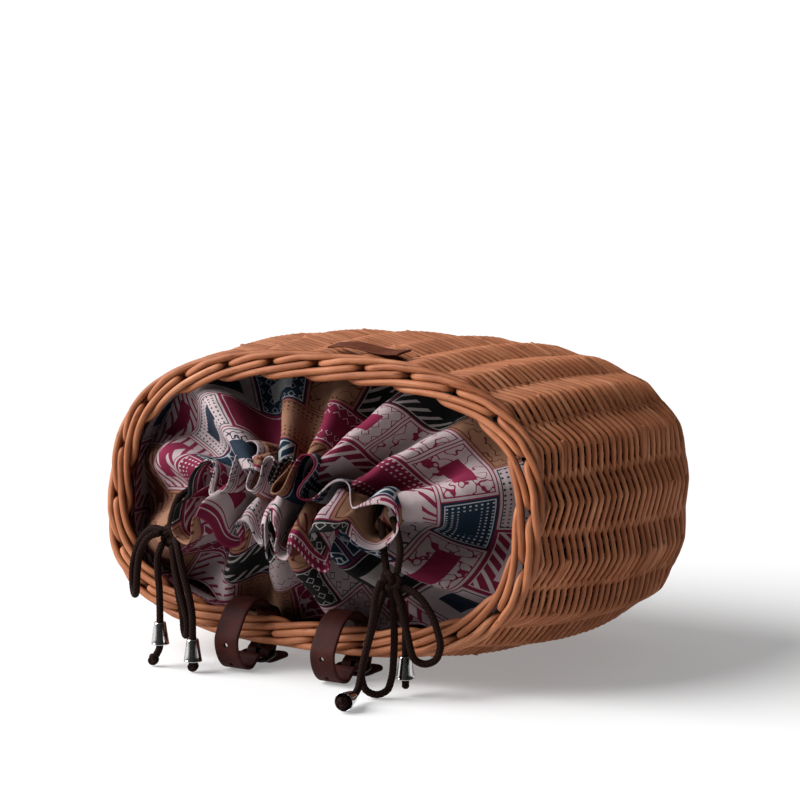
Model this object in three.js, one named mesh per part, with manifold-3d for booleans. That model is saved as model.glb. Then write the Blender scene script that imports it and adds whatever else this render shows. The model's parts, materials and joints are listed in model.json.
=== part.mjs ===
// A willow bicycle basket with a drawstring cotton liner and two buckled leather straps.
// It lies on its back: the mouth faces -Y, the base faces +Y and the front wall is on top.
// Millimetres, +Z up, with the origin on the floor under the middle of the basket and its straps.
import * as THREE from 'three';
import { mergeVertices } from 'three/addons/utils/BufferGeometryUtils.js';
import Module from 'manifold-3d';

const wasm = await Module();
wasm.setup();

// Basket body, outside sizes
const MOUTH_WIDTH = 390;
const MOUTH_HEIGHT = 226;
const BELLY_WIDTH = 436;
const BELLY_HEIGHT = 248;
const HEEL_WIDTH = 410;
const HEEL_HEIGHT = 229;
const DEPTH = 260;
const HEEL_ROUND = 34;
const HEEL_RISE = 6;
const FRONT_SQUARENESS = 2.65;
const BACK_SQUARENESS = 2.9;
const HEEL_SQUARENESS = 2.96;
const MOUTH_SLOPE = THREE.MathUtils.degToRad(4.7);
const REST_PITCH = THREE.MathUtils.degToRad(5);
const GAP = 0.3;
const SAME_LENGTH = 1e-6;

// Willow work
const STAKES = 24;
const STAKE_SHIFT = -6.5;
const ROD_RADIUS = 2.6;
const ROD_SIDES = 5;
const STAKE_TUCK = 18;
const WALL_ROWS = 42;
const HEEL_ROWS = 11;
const WALL_THICKNESS = 9;
const WALL_RELIEF = 4.5;
const HEEL_RELIEF = 2.6;
const STAKE_CLEARANCE = 0.7;
const BORDER_WIDTH = 22.4;
const BORDER_HEIGHT = 12.4;
const BORDER_SPAN = 3.6;

// Cotton liner
const LINER_THICKNESS = 1.4;
const LINER_SEAM_DEPTH = 46;
const CHANNEL_WIDTH = 188;
const CHANNEL_HEIGHT = 112;
const CHANNEL_CENTRE = -9;
const HEADER_FOLDS = 13;
const COLLAR_POINTS = 52;

// Leather straps and their buckles
const STRAP_WIDTH = 22;
const STRAP_THICKNESS = 2.6;
const STRAP_HOLE = 2.4;
const STRAP_HOLE_SPOTS = [17.1, 18.9];
const STRAP_ROOM = 16;
const STRAP_LIFT = 9;
const STRAP_COLUMNS = { left: -2, right: 2 };
const SLOT_DEPTH = 28;
const SLOT_LENGTH = 7;
const SLOT_ROOM = 2;
const BUCKLE_WIDTH = 31;
const BUCKLE_LENGTH = 17.2;
const BUCKLE_WIRE = 1.7;
const BUCKLE_CORNER = 4;
const BUCKLE_TILT = THREE.MathUtils.degToRad(8);
const BAR_SETBACK = 7.5;
const BAR_HEIGHT = 7.9;
const PRONG_RADIUS = 1.2;
const PRONG_TIP = 0.84;
const PRONG_EYE = 0.7;
const PRONG_OVERHANG = 2;
const PRONG_TILT = THREE.MathUtils.degToRad(17.3);
const RIVET_HEAD = 2;
const RIVET_DOME = 0.8;
const RIVET_SHANK = 1;
const RIVET_REACH = 4.5;
const RIVET_PLACE = [2.93, 4.32];
const RIVET_TILT = THREE.MathUtils.degToRad(-27);

// Drawcords and their bells
const CORD_RADIUS = 2.75;
const CORD_SIDES = 8;
const KNOT_RADIUS = 8.2;
const BELL_LENGTH = 17.5;
const BELL_TOP = 4.6;
const BELL_MOUTH = 7.4;
const BELL_WALL = 0.9;
const BELL_BORE = 3.25;
const END_KNOT = 5;
const KNOT_IN_BELL = 11.5;

// Leather patch on the front wall
const PATCH_WIDTH = 63;
const PATCH_LENGTH = 19;
const PATCH_CENTRE = 22;
const PATCH_THICKNESS = 1.6;
const PATCH_DEPTH = 27;
const PATCH_WAVE = 1.6;
const PATCH_COLUMNS = 12;
const PATCH_ROWS = 3;

const BORDER_RADIUS = BORDER_WIDTH / 2 - ROD_RADIUS;
const BORDER_RISE = BORDER_HEIGHT - 2 * ROD_RADIUS;
const BORDER_FOOT = BORDER_HEIGHT - ROD_RADIUS;
const SIDING_TOP = BORDER_HEIGHT + GAP;
const STAKE_OFFSET = WALL_THICKNESS + STAKE_CLEARANCE + ROD_RADIUS;
const LINER_OFFSET = STAKE_OFFSET + ROD_RADIUS + GAP;

const willow = new THREE.MeshStandardMaterial({ color: 0xa9683f, roughness: 0.62 });
const willowDark = new THREE.MeshStandardMaterial({ color: 0x9a5d38, roughness: 0.66 });
const cotton = new THREE.MeshStandardMaterial({ color: 0xd9cfc4, roughness: 0.9 });
const cord = new THREE.MeshStandardMaterial({ color: 0x2a2020, roughness: 0.85 });
const leather = new THREE.MeshStandardMaterial({ color: 0x3d2624, roughness: 0.55 });
const patchLeather = new THREE.MeshStandardMaterial({ color: 0x7a4a2e, roughness: 0.6 });
const chrome = new THREE.MeshStandardMaterial({ color: 0xc9c9cc, roughness: 0.2, metalness: 1 });
const blackMetal = new THREE.MeshStandardMaterial({ color: 0x26262a, roughness: 0.35, metalness: 1 });

const object = new THREE.Group();
const basket = new THREE.Group();
object.add(basket);

function addPiece(group, name, geometry, material) {
  const mesh = new THREE.Mesh(geometry, material);
  mesh.name = name;
  group.add(mesh);
  return mesh;
}

// Turns a mesh inside out where its volume comes out negative.
function faceOut(points, triangles) {
  const [a, b, c] = [new THREE.Vector3(), new THREE.Vector3(), new THREE.Vector3()];
  let volume = 0;
  for (let i = 0; i < triangles.length; i += 3) {
    a.copy(points[triangles[i]]);
    b.copy(points[triangles[i + 1]]);
    c.copy(points[triangles[i + 2]]);
    volume += a.dot(b.cross(c));
  }
  if (volume < 0) triangles.reverse();
  const geometry = new THREE.BufferGeometry().setFromPoints(points);
  geometry.setIndex(triangles);
  geometry.computeVertexNormals();
  return geometry;
}

// A solid through rings of equally many points: closed on itself, or with an end cap at each end.
// Each cell is folded along its shorter diagonal, so the two faces of a thin sheet fold alike.
function loft(rings, closed) {
  const count = rings[0].length;
  const points = rings.flat();
  const triangles = [];
  const last = closed ? rings.length : rings.length - 1;
  for (let i = 0; i < last; i += 1) {
    const here = i * count;
    const next = ((i + 1) % rings.length) * count;
    for (let j = 0; j < count; j += 1) {
      const k = (j + 1) % count;
      const [a, b, c, d] = [here + j, here + k, next + k, next + j];
      const folded = points[a].distanceTo(points[c]) <= points[b].distanceTo(points[d]) + SAME_LENGTH;
      triangles.push(...(folded ? [a, b, c, a, c, d] : [a, b, d, b, c, d]));
    }
  }
  if (!closed) {
    const end = (rings.length - 1) * count;
    const middle = (ring) => ring.reduce((sum, p) => sum.add(p), new THREE.Vector3()).divideScalar(count);
    points.push(middle(rings[0]), middle(rings[rings.length - 1]));
    for (let j = 0; j < count; j += 1) {
      const k = (j + 1) % count;
      triangles.push(j, points.length - 2, k, end + j, end + k, points.length - 1);
    }
  }
  return faceOut(points, triangles);
}

// A smooth curve that is cut into steps at its own points, closer together where it bends.
class Route extends THREE.CatmullRomCurve3 {
  getPointAt(part, target) {
    return this.getPoint(part, target);
  }

  getTangentAt(part, target) {
    return this.getTangent(part, target);
  }
}

// A round rod or cord along a route.
function rod(points, radius, sides) {
  const section = new THREE.Shape();
  for (let i = 0; i <= sides; i += 1) {
    const turn = (i / sides) * Math.PI * 2;
    const draw = i === 0 ? 'moveTo' : 'lineTo';
    section[draw](radius * Math.cos(turn), radius * Math.sin(turn));
  }
  const extrudePath = new Route(points, false, 'centripetal');
  return new THREE.ExtrudeGeometry(section, { steps: points.length - 1, extrudePath, bevelEnabled: false });
}

function toSolid(geometry) {
  const plain = geometry.clone();
  plain.deleteAttribute('normal');
  plain.deleteAttribute('uv');
  const merged = mergeVertices(plain, 1e-4);
  const mesh = new wasm.Mesh({
    numProp: 3,
    vertProperties: new Float32Array(merged.attributes.position.array),
    triVerts: new Uint32Array(merged.index.array),
  });
  return new wasm.Manifold(mesh);
}

function fromSolid(solid) {
  const mesh = solid.getMesh();
  const geometry = new THREE.BufferGeometry();
  geometry.setAttribute('position', new THREE.BufferAttribute(mesh.vertProperties, 3));
  geometry.setIndex(new THREE.BufferAttribute(mesh.triVerts, 1));
  geometry.computeVertexNormals();
  return geometry;
}

// Basket shape: a point on the wall by its angle round the mouth, its depth and its inset from outside.
function parabola(start, middle, end, t) {
  return start * (1 - t) * (1 - 2 * t) + middle * 4 * t * (1 - t) + end * t * (2 * t - 1);
}

function power(value, squareness) {
  return Math.sign(value) * Math.abs(value) ** (2 / squareness);
}

function wallPoint(angle, depth, inset) {
  const t = depth / DEPTH;
  const halfWidth = parabola(MOUTH_WIDTH, BELLY_WIDTH, HEEL_WIDTH, t) / 2 - inset;
  const halfHeight = parabola(MOUTH_HEIGHT, BELLY_HEIGHT, HEEL_HEIGHT, t) / 2 - inset;
  const mouth = Math.sin(angle) >= 0 ? FRONT_SQUARENESS : BACK_SQUARENESS;
  const squareness = mouth + (HEEL_SQUARENESS - mouth) * t;
  const x = power(Math.cos(angle), squareness) * halfWidth;
  const z = power(Math.sin(angle), squareness) * halfHeight + HEEL_RISE * t;
  return new THREE.Vector3(x, depth + z * Math.tan(MOUTH_SLOPE) * (1 - t), z);
}

// Angles at even steps of length round the mouth, counted from the middle of the back wall.
const SAMPLES = 2000;
const BACK_MIDDLE = -Math.PI / 2;
const mouthLength = [0];
for (let i = 1; i <= SAMPLES; i += 1) {
  const here = wallPoint(BACK_MIDDLE + (i / SAMPLES) * Math.PI * 2, 0, 0);
  const before = wallPoint(BACK_MIDDLE + ((i - 1) / SAMPLES) * Math.PI * 2, 0, 0);
  mouthLength.push(mouthLength[i - 1] + here.distanceTo(before));
}
const perimeter = mouthLength[SAMPLES];

function angleAt(length) {
  const wanted = ((length % perimeter) + perimeter) % perimeter;
  const i = mouthLength.findIndex((value) => value > wanted);
  const part = (wanted - mouthLength[i - 1]) / (mouthLength[i] - mouthLength[i - 1]);
  return BACK_MIDDLE + ((i - 1 + part) / SAMPLES) * Math.PI * 2;
}

// Columns of the weave: odd ones lie on a stake, even ones between two stakes.
const COLUMNS = 2 * STAKES;
const columnAngle = (column) => angleAt(STAKE_SHIFT + (column / COLUMNS) * perimeter);
const columnAngles = Array.from({ length: COLUMNS }, (_, column) => columnAngle(column));

// A line at a set offset behind the outer face: down the wall while part is under 1, and round the
// heel to the base as it goes on to 2.
function meridian(offset, part) {
  const wallEnd = DEPTH - HEEL_ROUND;
  if (part <= 1) return { depth: SIDING_TOP + part * (wallEnd - SIDING_TOP), inset: offset };
  const bend = HEEL_ROUND - offset;
  const turn = (part - 1) * (Math.PI / 2);
  return { depth: wallEnd + bend * Math.sin(turn), inset: HEEL_ROUND - bend * Math.cos(turn) };
}

const WALL_PARTS = [0, 0.25, 0.5, 0.75];
const HEEL_PARTS = [1, 4 / 3, 5 / 3, 2];
const STAKE_BEND = 0.07;

function sideRing(offset, part, angles) {
  const { depth, inset } = meridian(offset, part);
  return angles.map((angle) => wallPoint(angle, depth, inset));
}

// Side weave: each row passes in front of every other stake, and the next row of those between.
// Between two stakes all rows lie back by the relief, which is less where the heel draws in.
function weaveRelief(part) {
  return part <= 1 ? WALL_RELIEF + (HEEL_RELIEF - WALL_RELIEF) * part ** 2 : HEEL_RELIEF;
}

function makeSiding() {
  const rings = [];
  for (let row = 0; row <= WALL_ROWS + HEEL_ROWS; row += 1) {
    const part = row <= WALL_ROWS ? row / WALL_ROWS : 1 + (row - WALL_ROWS) / HEEL_ROWS;
    rings.push(columnAngles.map((angle, column) => {
      const stake = (column - 1) / 2;
      const inFront = column % 2 === 1 && (row + stake) % 2 === 0;
      const { depth, inset } = meridian(inFront ? 0 : weaveRelief(part), part);
      return wallPoint(angle, depth, inset);
    }));
  }
  const inner = [...WALL_PARTS, ...HEEL_PARTS];
  rings.push(...inner.reverse().map((part) => sideRing(WALL_THICKNESS, part, columnAngles)));
  return loft(rings, true);
}

// Strap slots: one through the side weave behind each strap, between two stakes.
function slotMiddle(column) {
  return wallPoint(columnAngle(column), SLOT_DEPTH, WALL_THICKNESS / 2);
}

function makeStrapSlot(column) {
  const slot = new THREE.BoxGeometry(STRAP_WIDTH + SLOT_ROOM, SLOT_LENGTH, 4 * WALL_THICKNESS);
  return slot.translate(...slotMiddle(column).toArray());
}

let siding = toSolid(makeSiding());
for (const column of Object.values(STRAP_COLUMNS)) {
  siding = siding.subtract(toSolid(makeStrapSlot(column)));
}
const sidingMesh = addPiece(basket, 'side_weave', fromSolid(siding), willow);

// Base: an oval mat whose edge meets the last row of the side weave.
function makeBase() {
  const faces = [DEPTH - WALL_THICKNESS, DEPTH];
  return loft(faces.map((depth) => columnAngles.map((angle) => (
    wallPoint(angle, DEPTH, HEEL_ROUND + GAP).setY(depth)
  ))), false);
}

addPiece(basket, 'woven_base', makeBase(), willowDark);

// Stakes: each rises from the base inside the wall, then lies over to the right in the border
// and crosses it from the inner edge to the outer edge above the next stakes.
function borderPoint(column, span) {
  const turn = Math.PI * (span / BORDER_SPAN);
  const inset = BORDER_WIDTH / 2 + BORDER_RADIUS * Math.cos(turn);
  const depth = BORDER_FOOT - BORDER_RISE * Math.sin(turn);
  return wallPoint(columnAngle(column - 2 * span), depth, inset);
}

function makeStake(column) {
  const angle = columnAngles[column];
  const points = [wallPoint(angle, DEPTH - STAKE_OFFSET, HEEL_ROUND + STAKE_TUCK)];
  for (const part of [STAKE_BEND, ...WALL_PARTS.slice(1), ...HEEL_PARTS].reverse()) {
    const { depth, inset } = meridian(STAKE_OFFSET, part);
    points.push(wallPoint(angle, depth, inset));
  }
  const lean = meridian(STAKE_OFFSET, 0.02);
  points.push(wallPoint(columnAngle(column - 0.12), lean.depth, lean.inset + ROD_RADIUS));
  for (const span of [0.35, 0.7, 1.1, 1.5, 1.9, 2.3, 2.7, 3.15, BORDER_SPAN]) {
    points.push(borderPoint(column, span));
  }
  return rod(points, ROD_RADIUS, ROD_SIDES);
}

for (let i = 0; i < STAKES; i += 1) {
  const name = `stake_${String(i + 1).padStart(2, '0')}`;
  addPiece(basket, name, makeStake(2 * i + 1), i % 2 ? willow : willowDark);
}

// Liner bag: a thin cup inside the stakes, up to the seam that joins it to the collar.
function makeLinerBag() {
  const angles = columnAngles.filter((_, column) => column % 2 === 0);
  const top = (LINER_SEAM_DEPTH - SIDING_TOP) / (DEPTH - HEEL_ROUND - SIDING_TOP);
  const parts = [top, ...WALL_PARTS.filter((part) => part > top), ...HEEL_PARTS].reverse();
  const layer = (offset) => parts.map((part) => sideRing(offset, part, angles));
  return loft([...layer(LINER_OFFSET + LINER_THICKNESS), ...layer(LINER_OFFSET).reverse()], false);
}

addPiece(basket, 'liner_bag', makeLinerBag(), cotton);

// Liner collar: from the seam it rises to the drawcord channel, and its ruffled header goes on
// from there to the small opening that the cords leave in the middle.
const COLLAR_RINGS = [
  { blend: 0, rise: 0, fold: 0 },
  { blend: 0.22, rise: 7, fold: 1.5 },
  { blend: 0.5, rise: 24, fold: 3.5 },
  { blend: 0.78, rise: 46, fold: 5 },
  { blend: 1, rise: 62, fold: 4 },
];
const HEADER_RINGS = [
  { blend: 1 + GAP / (CHANNEL_HEIGHT / 2), rise: 62, fold: 4 },
  { blend: 1.22, rise: 76, fold: 7 },
  { blend: 1.46, rise: 80, fold: 9 },
  { blend: 1.66, rise: 70, fold: 6 },
];

function collarRing({ blend, rise, fold }, thickness) {
  const ring = [];
  for (let i = 0; i < COLLAR_POINTS; i += 1) {
    const angle = (i / COLLAR_POINTS) * Math.PI * 2;
    const inset = LINER_OFFSET + LINER_THICKNESS / 2;
    const edge = wallPoint(angle, LINER_SEAM_DEPTH - GAP, inset);
    const middle = new THREE.Vector3(CHANNEL_CENTRE, edge.y, 0);
    const channel = new THREE.Vector3(
      middle.x + (CHANNEL_WIDTH / 2) * Math.cos(angle),
      edge.y,
      (CHANNEL_HEIGHT / 2) * Math.sin(angle),
    );
    const point = blend <= 1 ? edge.lerp(channel, blend) : channel.lerp(middle, blend - 1);
    point.y -= rise + fold * Math.sin(HEADER_FOLDS * angle + 2 * blend) - thickness;
    ring.push(point);
  }
  return ring;
}

function makeCollar(rings) {
  const front = rings.map((ring) => collarRing(ring, 0));
  const back = rings.map((ring) => collarRing(ring, LINER_THICKNESS));
  if (rings[0].blend === 0) {
    back[0].forEach((point, i) => {
      point.copy(front[0][i]);
      point.z *= 1 - LINER_THICKNESS / MOUTH_HEIGHT;
      point.x *= 1 - LINER_THICKNESS / MOUTH_WIDTH;
    });
  }
  return loft([...front, ...back.reverse()], true);
}

addPiece(basket, 'liner_collar', makeCollar(COLLAR_RINGS), cotton);
addPiece(basket, 'liner_header', makeCollar(HEADER_RINGS), cotton);

// Leather patch: a blank, slightly wavy strip lying on the weave of the front wall.
function makePatch() {
  const columns = PATCH_COLUMNS;
  const rows = PATCH_ROWS;
  const layer = (lift) => {
    const points = [];
    for (let j = 0; j <= rows; j += 1) {
      for (let i = 0; i <= columns; i += 1) {
        const across = PATCH_CENTRE + (i / columns - 0.5) * PATCH_WIDTH;
        const depth = PATCH_DEPTH + (j / rows - 0.5) * PATCH_LENGTH;
        const halfWidth = parabola(MOUTH_WIDTH, BELLY_WIDTH, HEEL_WIDTH, depth / DEPTH) / 2;
        const angle = Math.acos(Math.sign(across) * Math.abs(across / halfWidth) ** (FRONT_SQUARENESS / 2));
        const wave = PATCH_WAVE * (1 + Math.sin((i / columns) * Math.PI * 2));
        points.push(wallPoint(angle, depth, -GAP - wave - lift));
      }
    }
    return points;
  };
  const points = [...layer(0), ...layer(PATCH_THICKNESS)];
  const half = points.length / 2;
  const at = (i, j, top) => (top ? half : 0) + j * (columns + 1) + i;
  const triangles = [];
  const quad = (a, b, c, d) => triangles.push(a, b, c, a, c, d);
  for (let j = 0; j < rows; j += 1) {
    for (let i = 0; i < columns; i += 1) {
      quad(at(i, j, 1), at(i + 1, j, 1), at(i + 1, j + 1, 1), at(i, j + 1, 1));
      quad(at(i, j, 0), at(i, j + 1, 0), at(i + 1, j + 1, 0), at(i + 1, j, 0));
    }
    quad(at(0, j, 0), at(0, j, 1), at(0, j + 1, 1), at(0, j + 1, 0));
    quad(at(columns, j, 1), at(columns, j, 0), at(columns, j + 1, 0), at(columns, j + 1, 1));
  }
  for (let i = 0; i < columns; i += 1) {
    quad(at(i, 0, 1), at(i, 0, 0), at(i + 1, 0, 0), at(i + 1, 0, 1));
    quad(at(i, rows, 0), at(i, rows, 1), at(i + 1, rows, 1), at(i + 1, rows, 0));
  }
  return faceOut(points, triangles);
}

addPiece(basket, 'leather_patch', makePatch(), patchLeather);

// The basket leans back until its belly meets the floor, and the straps hold its rim up. The wall
// at the strap slots stays high enough for the folded band and the buckle under it.
basket.rotation.x = -REST_PITCH;
basket.updateMatrixWorld(true);
const slotHeights = Object.values(STRAP_COLUMNS).map((column) => (
  wallPoint(columnAngle(column), SLOT_DEPTH, 0).applyMatrix4(basket.matrixWorld).z
));
const bellyHeight = new THREE.Box3().setFromObject(sidingMesh, true).min.z;
basket.position.z = Math.max(-bellyHeight, STRAP_ROOM - Math.min(...slotHeights));
basket.updateMatrixWorld(true);

// Straps, in the upright plane across the rim. Each band is folded round the buckle's rear bar, goes
// through the slot, turns over the border, comes down to the floor, goes up over the buckle's front
// bar and ends under the basket.
function strapFrame(column) {
  const angle = columnAngle(column);
  const toFloor = (point) => point.applyMatrix4(basket.matrixWorld);
  const slot = toFloor(wallPoint(angle, SLOT_DEPTH, 0));
  const rim = toFloor(wallPoint(angle, 0, 0));
  const bar = { y: slot.y - BAR_SETBACK, z: BAR_HEIGHT };
  return { x: slotMiddle(column).x, slot, rim, bar, front: bar.y - BUCKLE_LENGTH };
}

function bandLine({ slot, rim, bar, front }) {
  const turn = BUCKLE_WIRE + GAP + STRAP_THICKNESS / 2 + 0.2;
  const half = STRAP_THICKNESS / 2;
  const top = rim.z + BORDER_WIDTH + STRAP_LIFT;
  const points = [
    [bar.y + 3, bar.z + 7.6],
    [bar.y + 1.2, bar.z + 5.2],
    [bar.y - 2.2, bar.z + 3],
    [bar.y - turn, bar.z],
    [bar.y - turn * 0.72, bar.z - turn * 0.72],
    [bar.y, bar.z - turn],
    [bar.y + turn * 0.72, bar.z - turn * 0.72],
    [bar.y + turn, bar.z],
    [bar.y + 4.9, bar.z + 4],
    [slot.y - 1.2, slot.z - 1],
    [slot.y + 0.8, slot.z + 5],
    [slot.y + 4, slot.z + 14],
    [slot.y + 3, slot.z + 23],
    [rim.y + 19, top - 7],
    [rim.y + 5, top],
    [rim.y - 11, top - 4],
    [rim.y - 23, top - 18],
    [rim.y - 27.5, rim.z + 5],
    [rim.y - 25, rim.z - 9],
    [rim.y - 16, half + 2.5],
    [rim.y - 7, half + 1.2],
    [front - 4.5, half + 5.3],
    [front, half + 8.4],
    [front + 4.5, half + 6.6],
    [front + 9, half + 3.6],
    [bar.y - 3, half + 0.7],
    [bar.y + 2, half + 0.2],
    [bar.y + 14, half + 0.2],
    [bar.y + 30, half + 0.2],
  ];
  return new THREE.CatmullRomCurve3(points.map(([y, z]) => new THREE.Vector3(0, y, z)), false, 'centripetal');
}

// A hole straight through the band at one place of its line.
function bandHole(line, spot, radius) {
  const part = spot / (line.points.length - 1);
  const along = line.getTangent(part);
  const hole = new THREE.CylinderGeometry(radius, radius, 3 * STRAP_THICKNESS, 10);
  hole.rotateX(Math.atan2(along.y, -along.z));
  return hole.translate(0, ...line.getPoint(part).toArray().slice(1));
}

function makeStrap(frame) {
  const line = bandLine(frame);
  const { bar, front } = frame;
  const steps = 2 * (line.points.length - 1);
  const sides = [[], []];
  for (let i = 0; i <= steps; i += 1) {
    const at = line.getPoint(i / steps);
    const along = line.getTangent(i / steps);
    const across = new THREE.Vector2(-along.z, along.y).multiplyScalar(STRAP_THICKNESS / 2);
    sides[0].push(new THREE.Vector2(at.y, at.z).add(across));
    sides[1].push(new THREE.Vector2(at.y, at.z).sub(across));
  }
  const outline = new THREE.Shape([...sides[0], ...sides[1].reverse()]);
  const band = new THREE.ExtrudeGeometry(outline, { depth: STRAP_WIDTH, bevelEnabled: false });
  band.applyMatrix4(new THREE.Matrix4().set(
    0, 0, 1, -STRAP_WIDTH / 2,
    1, 0, 0, 0,
    0, 1, 0, 0,
    0, 0, 0, 1,
  ));
  const slotWidth = 2 * PRONG_RADIUS + 2;
  const crossing = Math.atan2(-3, 4.5);
  const cuts = [
    new THREE.BoxGeometry(slotWidth, 7.5, 9.5).translate(0, bar.y - 2.75, bar.z - 0.75),
    new THREE.BoxGeometry(slotWidth, 5, 6.7).translate(0, bar.y + 3, bar.z - 2.15),
    new THREE.BoxGeometry(slotWidth, 8.5, 6).rotateX(crossing)
      .translate(0, front + 8.2, STRAP_THICKNESS / 2 + 4.1),
    new THREE.CylinderGeometry(RIVET_SHANK + GAP, RIVET_SHANK + GAP, 12, 10).rotateX(RIVET_TILT)
      .translate(0, bar.y + RIVET_PLACE[0], bar.z + RIVET_PLACE[1]),
    ...STRAP_HOLE_SPOTS.map((spot) => bandHole(line, spot, STRAP_HOLE)),
  ];
  let solid = toSolid(band);
  for (const cut of cuts) solid = solid.subtract(toSolid(cut));
  return fromSolid(solid);
}

// Buckle frame: a rounded wire rectangle whose rear bar lies in the strap's fold.
function makeBuckle() {
  const corner = BUCKLE_CORNER;
  const halfWidth = BUCKLE_WIDTH / 2 - BUCKLE_WIRE;
  const centres = [
    [halfWidth - corner, -corner],
    [corner - halfWidth, -corner],
    [corner - halfWidth, corner - BUCKLE_LENGTH],
    [halfWidth - corner, corner - BUCKLE_LENGTH],
  ];
  const rings = [];
  centres.forEach(([x, y], quarter) => {
    for (let i = 0; i <= 3; i += 1) {
      const turn = (quarter + i / 3) * (Math.PI / 2);
      const out = new THREE.Vector3(Math.cos(turn), Math.sin(turn), 0);
      const middle = new THREE.Vector3(x, y, 0).addScaledVector(out, corner);
      rings.push(Array.from({ length: 8 }, (_, side) => {
        const around = (side / 8) * Math.PI * 2;
        const point = middle.clone().addScaledVector(out, BUCKLE_WIRE * Math.cos(around));
        return point.setZ(BUCKLE_WIRE * Math.sin(around));
      }));
    }
  });
  return loft(rings, true).rotateX(BUCKLE_TILT);
}

// Prong: an eye round the rear bar and a tapered pin through the strap's hole to below the front bar.
function makeProng() {
  const inside = BUCKLE_WIRE + GAP;
  const eye = new THREE.LatheGeometry([
    new THREE.Vector2(inside, -PRONG_RADIUS),
    new THREE.Vector2(inside + PRONG_EYE, -PRONG_RADIUS),
    new THREE.Vector2(inside + PRONG_EYE, PRONG_RADIUS),
    new THREE.Vector2(inside, PRONG_RADIUS),
    new THREE.Vector2(inside, -PRONG_RADIUS),
  ], 14);
  eye.rotateZ(Math.PI / 2);
  const start = inside + PRONG_EYE / 2;
  const end = BUCKLE_LENGTH + PRONG_OVERHANG;
  const pin = new THREE.CylinderGeometry(PRONG_RADIUS, PRONG_TIP, end - start, 8);
  pin.translate(0, -(start + end) / 2, 0);
  return fromSolid(toSolid(eye).add(toSolid(pin))).rotateX(PRONG_TILT);
}

// Rivet: two heads and a shank through both layers of the fold that holds the buckle.
function makeRivet() {
  const top = RIVET_REACH + RIVET_DOME;
  const shoulder = RIVET_REACH + 0.75 * RIVET_DOME;
  const rivet = new THREE.LatheGeometry([
    new THREE.Vector2(0, -top),
    new THREE.Vector2(RIVET_HEAD * 0.7, -shoulder),
    new THREE.Vector2(RIVET_HEAD, -RIVET_REACH),
    new THREE.Vector2(RIVET_SHANK, -RIVET_REACH),
    new THREE.Vector2(RIVET_SHANK, RIVET_REACH),
    new THREE.Vector2(RIVET_HEAD, RIVET_REACH),
    new THREE.Vector2(RIVET_HEAD * 0.7, shoulder),
    new THREE.Vector2(0, top),
  ], 12);
  return rivet.rotateX(RIVET_TILT).translate(0, ...RIVET_PLACE);
}

for (const [side, column] of Object.entries(STRAP_COLUMNS)) {
  const frame = strapFrame(column);
  const { x, bar } = frame;
  addPiece(object, `${side}_strap`, makeStrap(frame).translate(x, 0, 0), leather);
  addPiece(object, `${side}_buckle_frame`, makeBuckle().translate(x, bar.y, bar.z), blackMetal);
  addPiece(object, `${side}_buckle_prong`, makeProng().translate(x, bar.y, bar.z), blackMetal);
  addPiece(object, `${side}_rivet`, makeRivet().translate(x, bar.y, bar.z), blackMetal);
}
const body = new THREE.Box3().setFromObject(object, true);

// Drawcords: two strands leave the liner at each side and are tied in a bow whose ends carry a bell.
const BOW_KNOTS = { left: [-105, -42, 103], right: [96, -44, 88] };

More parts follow.
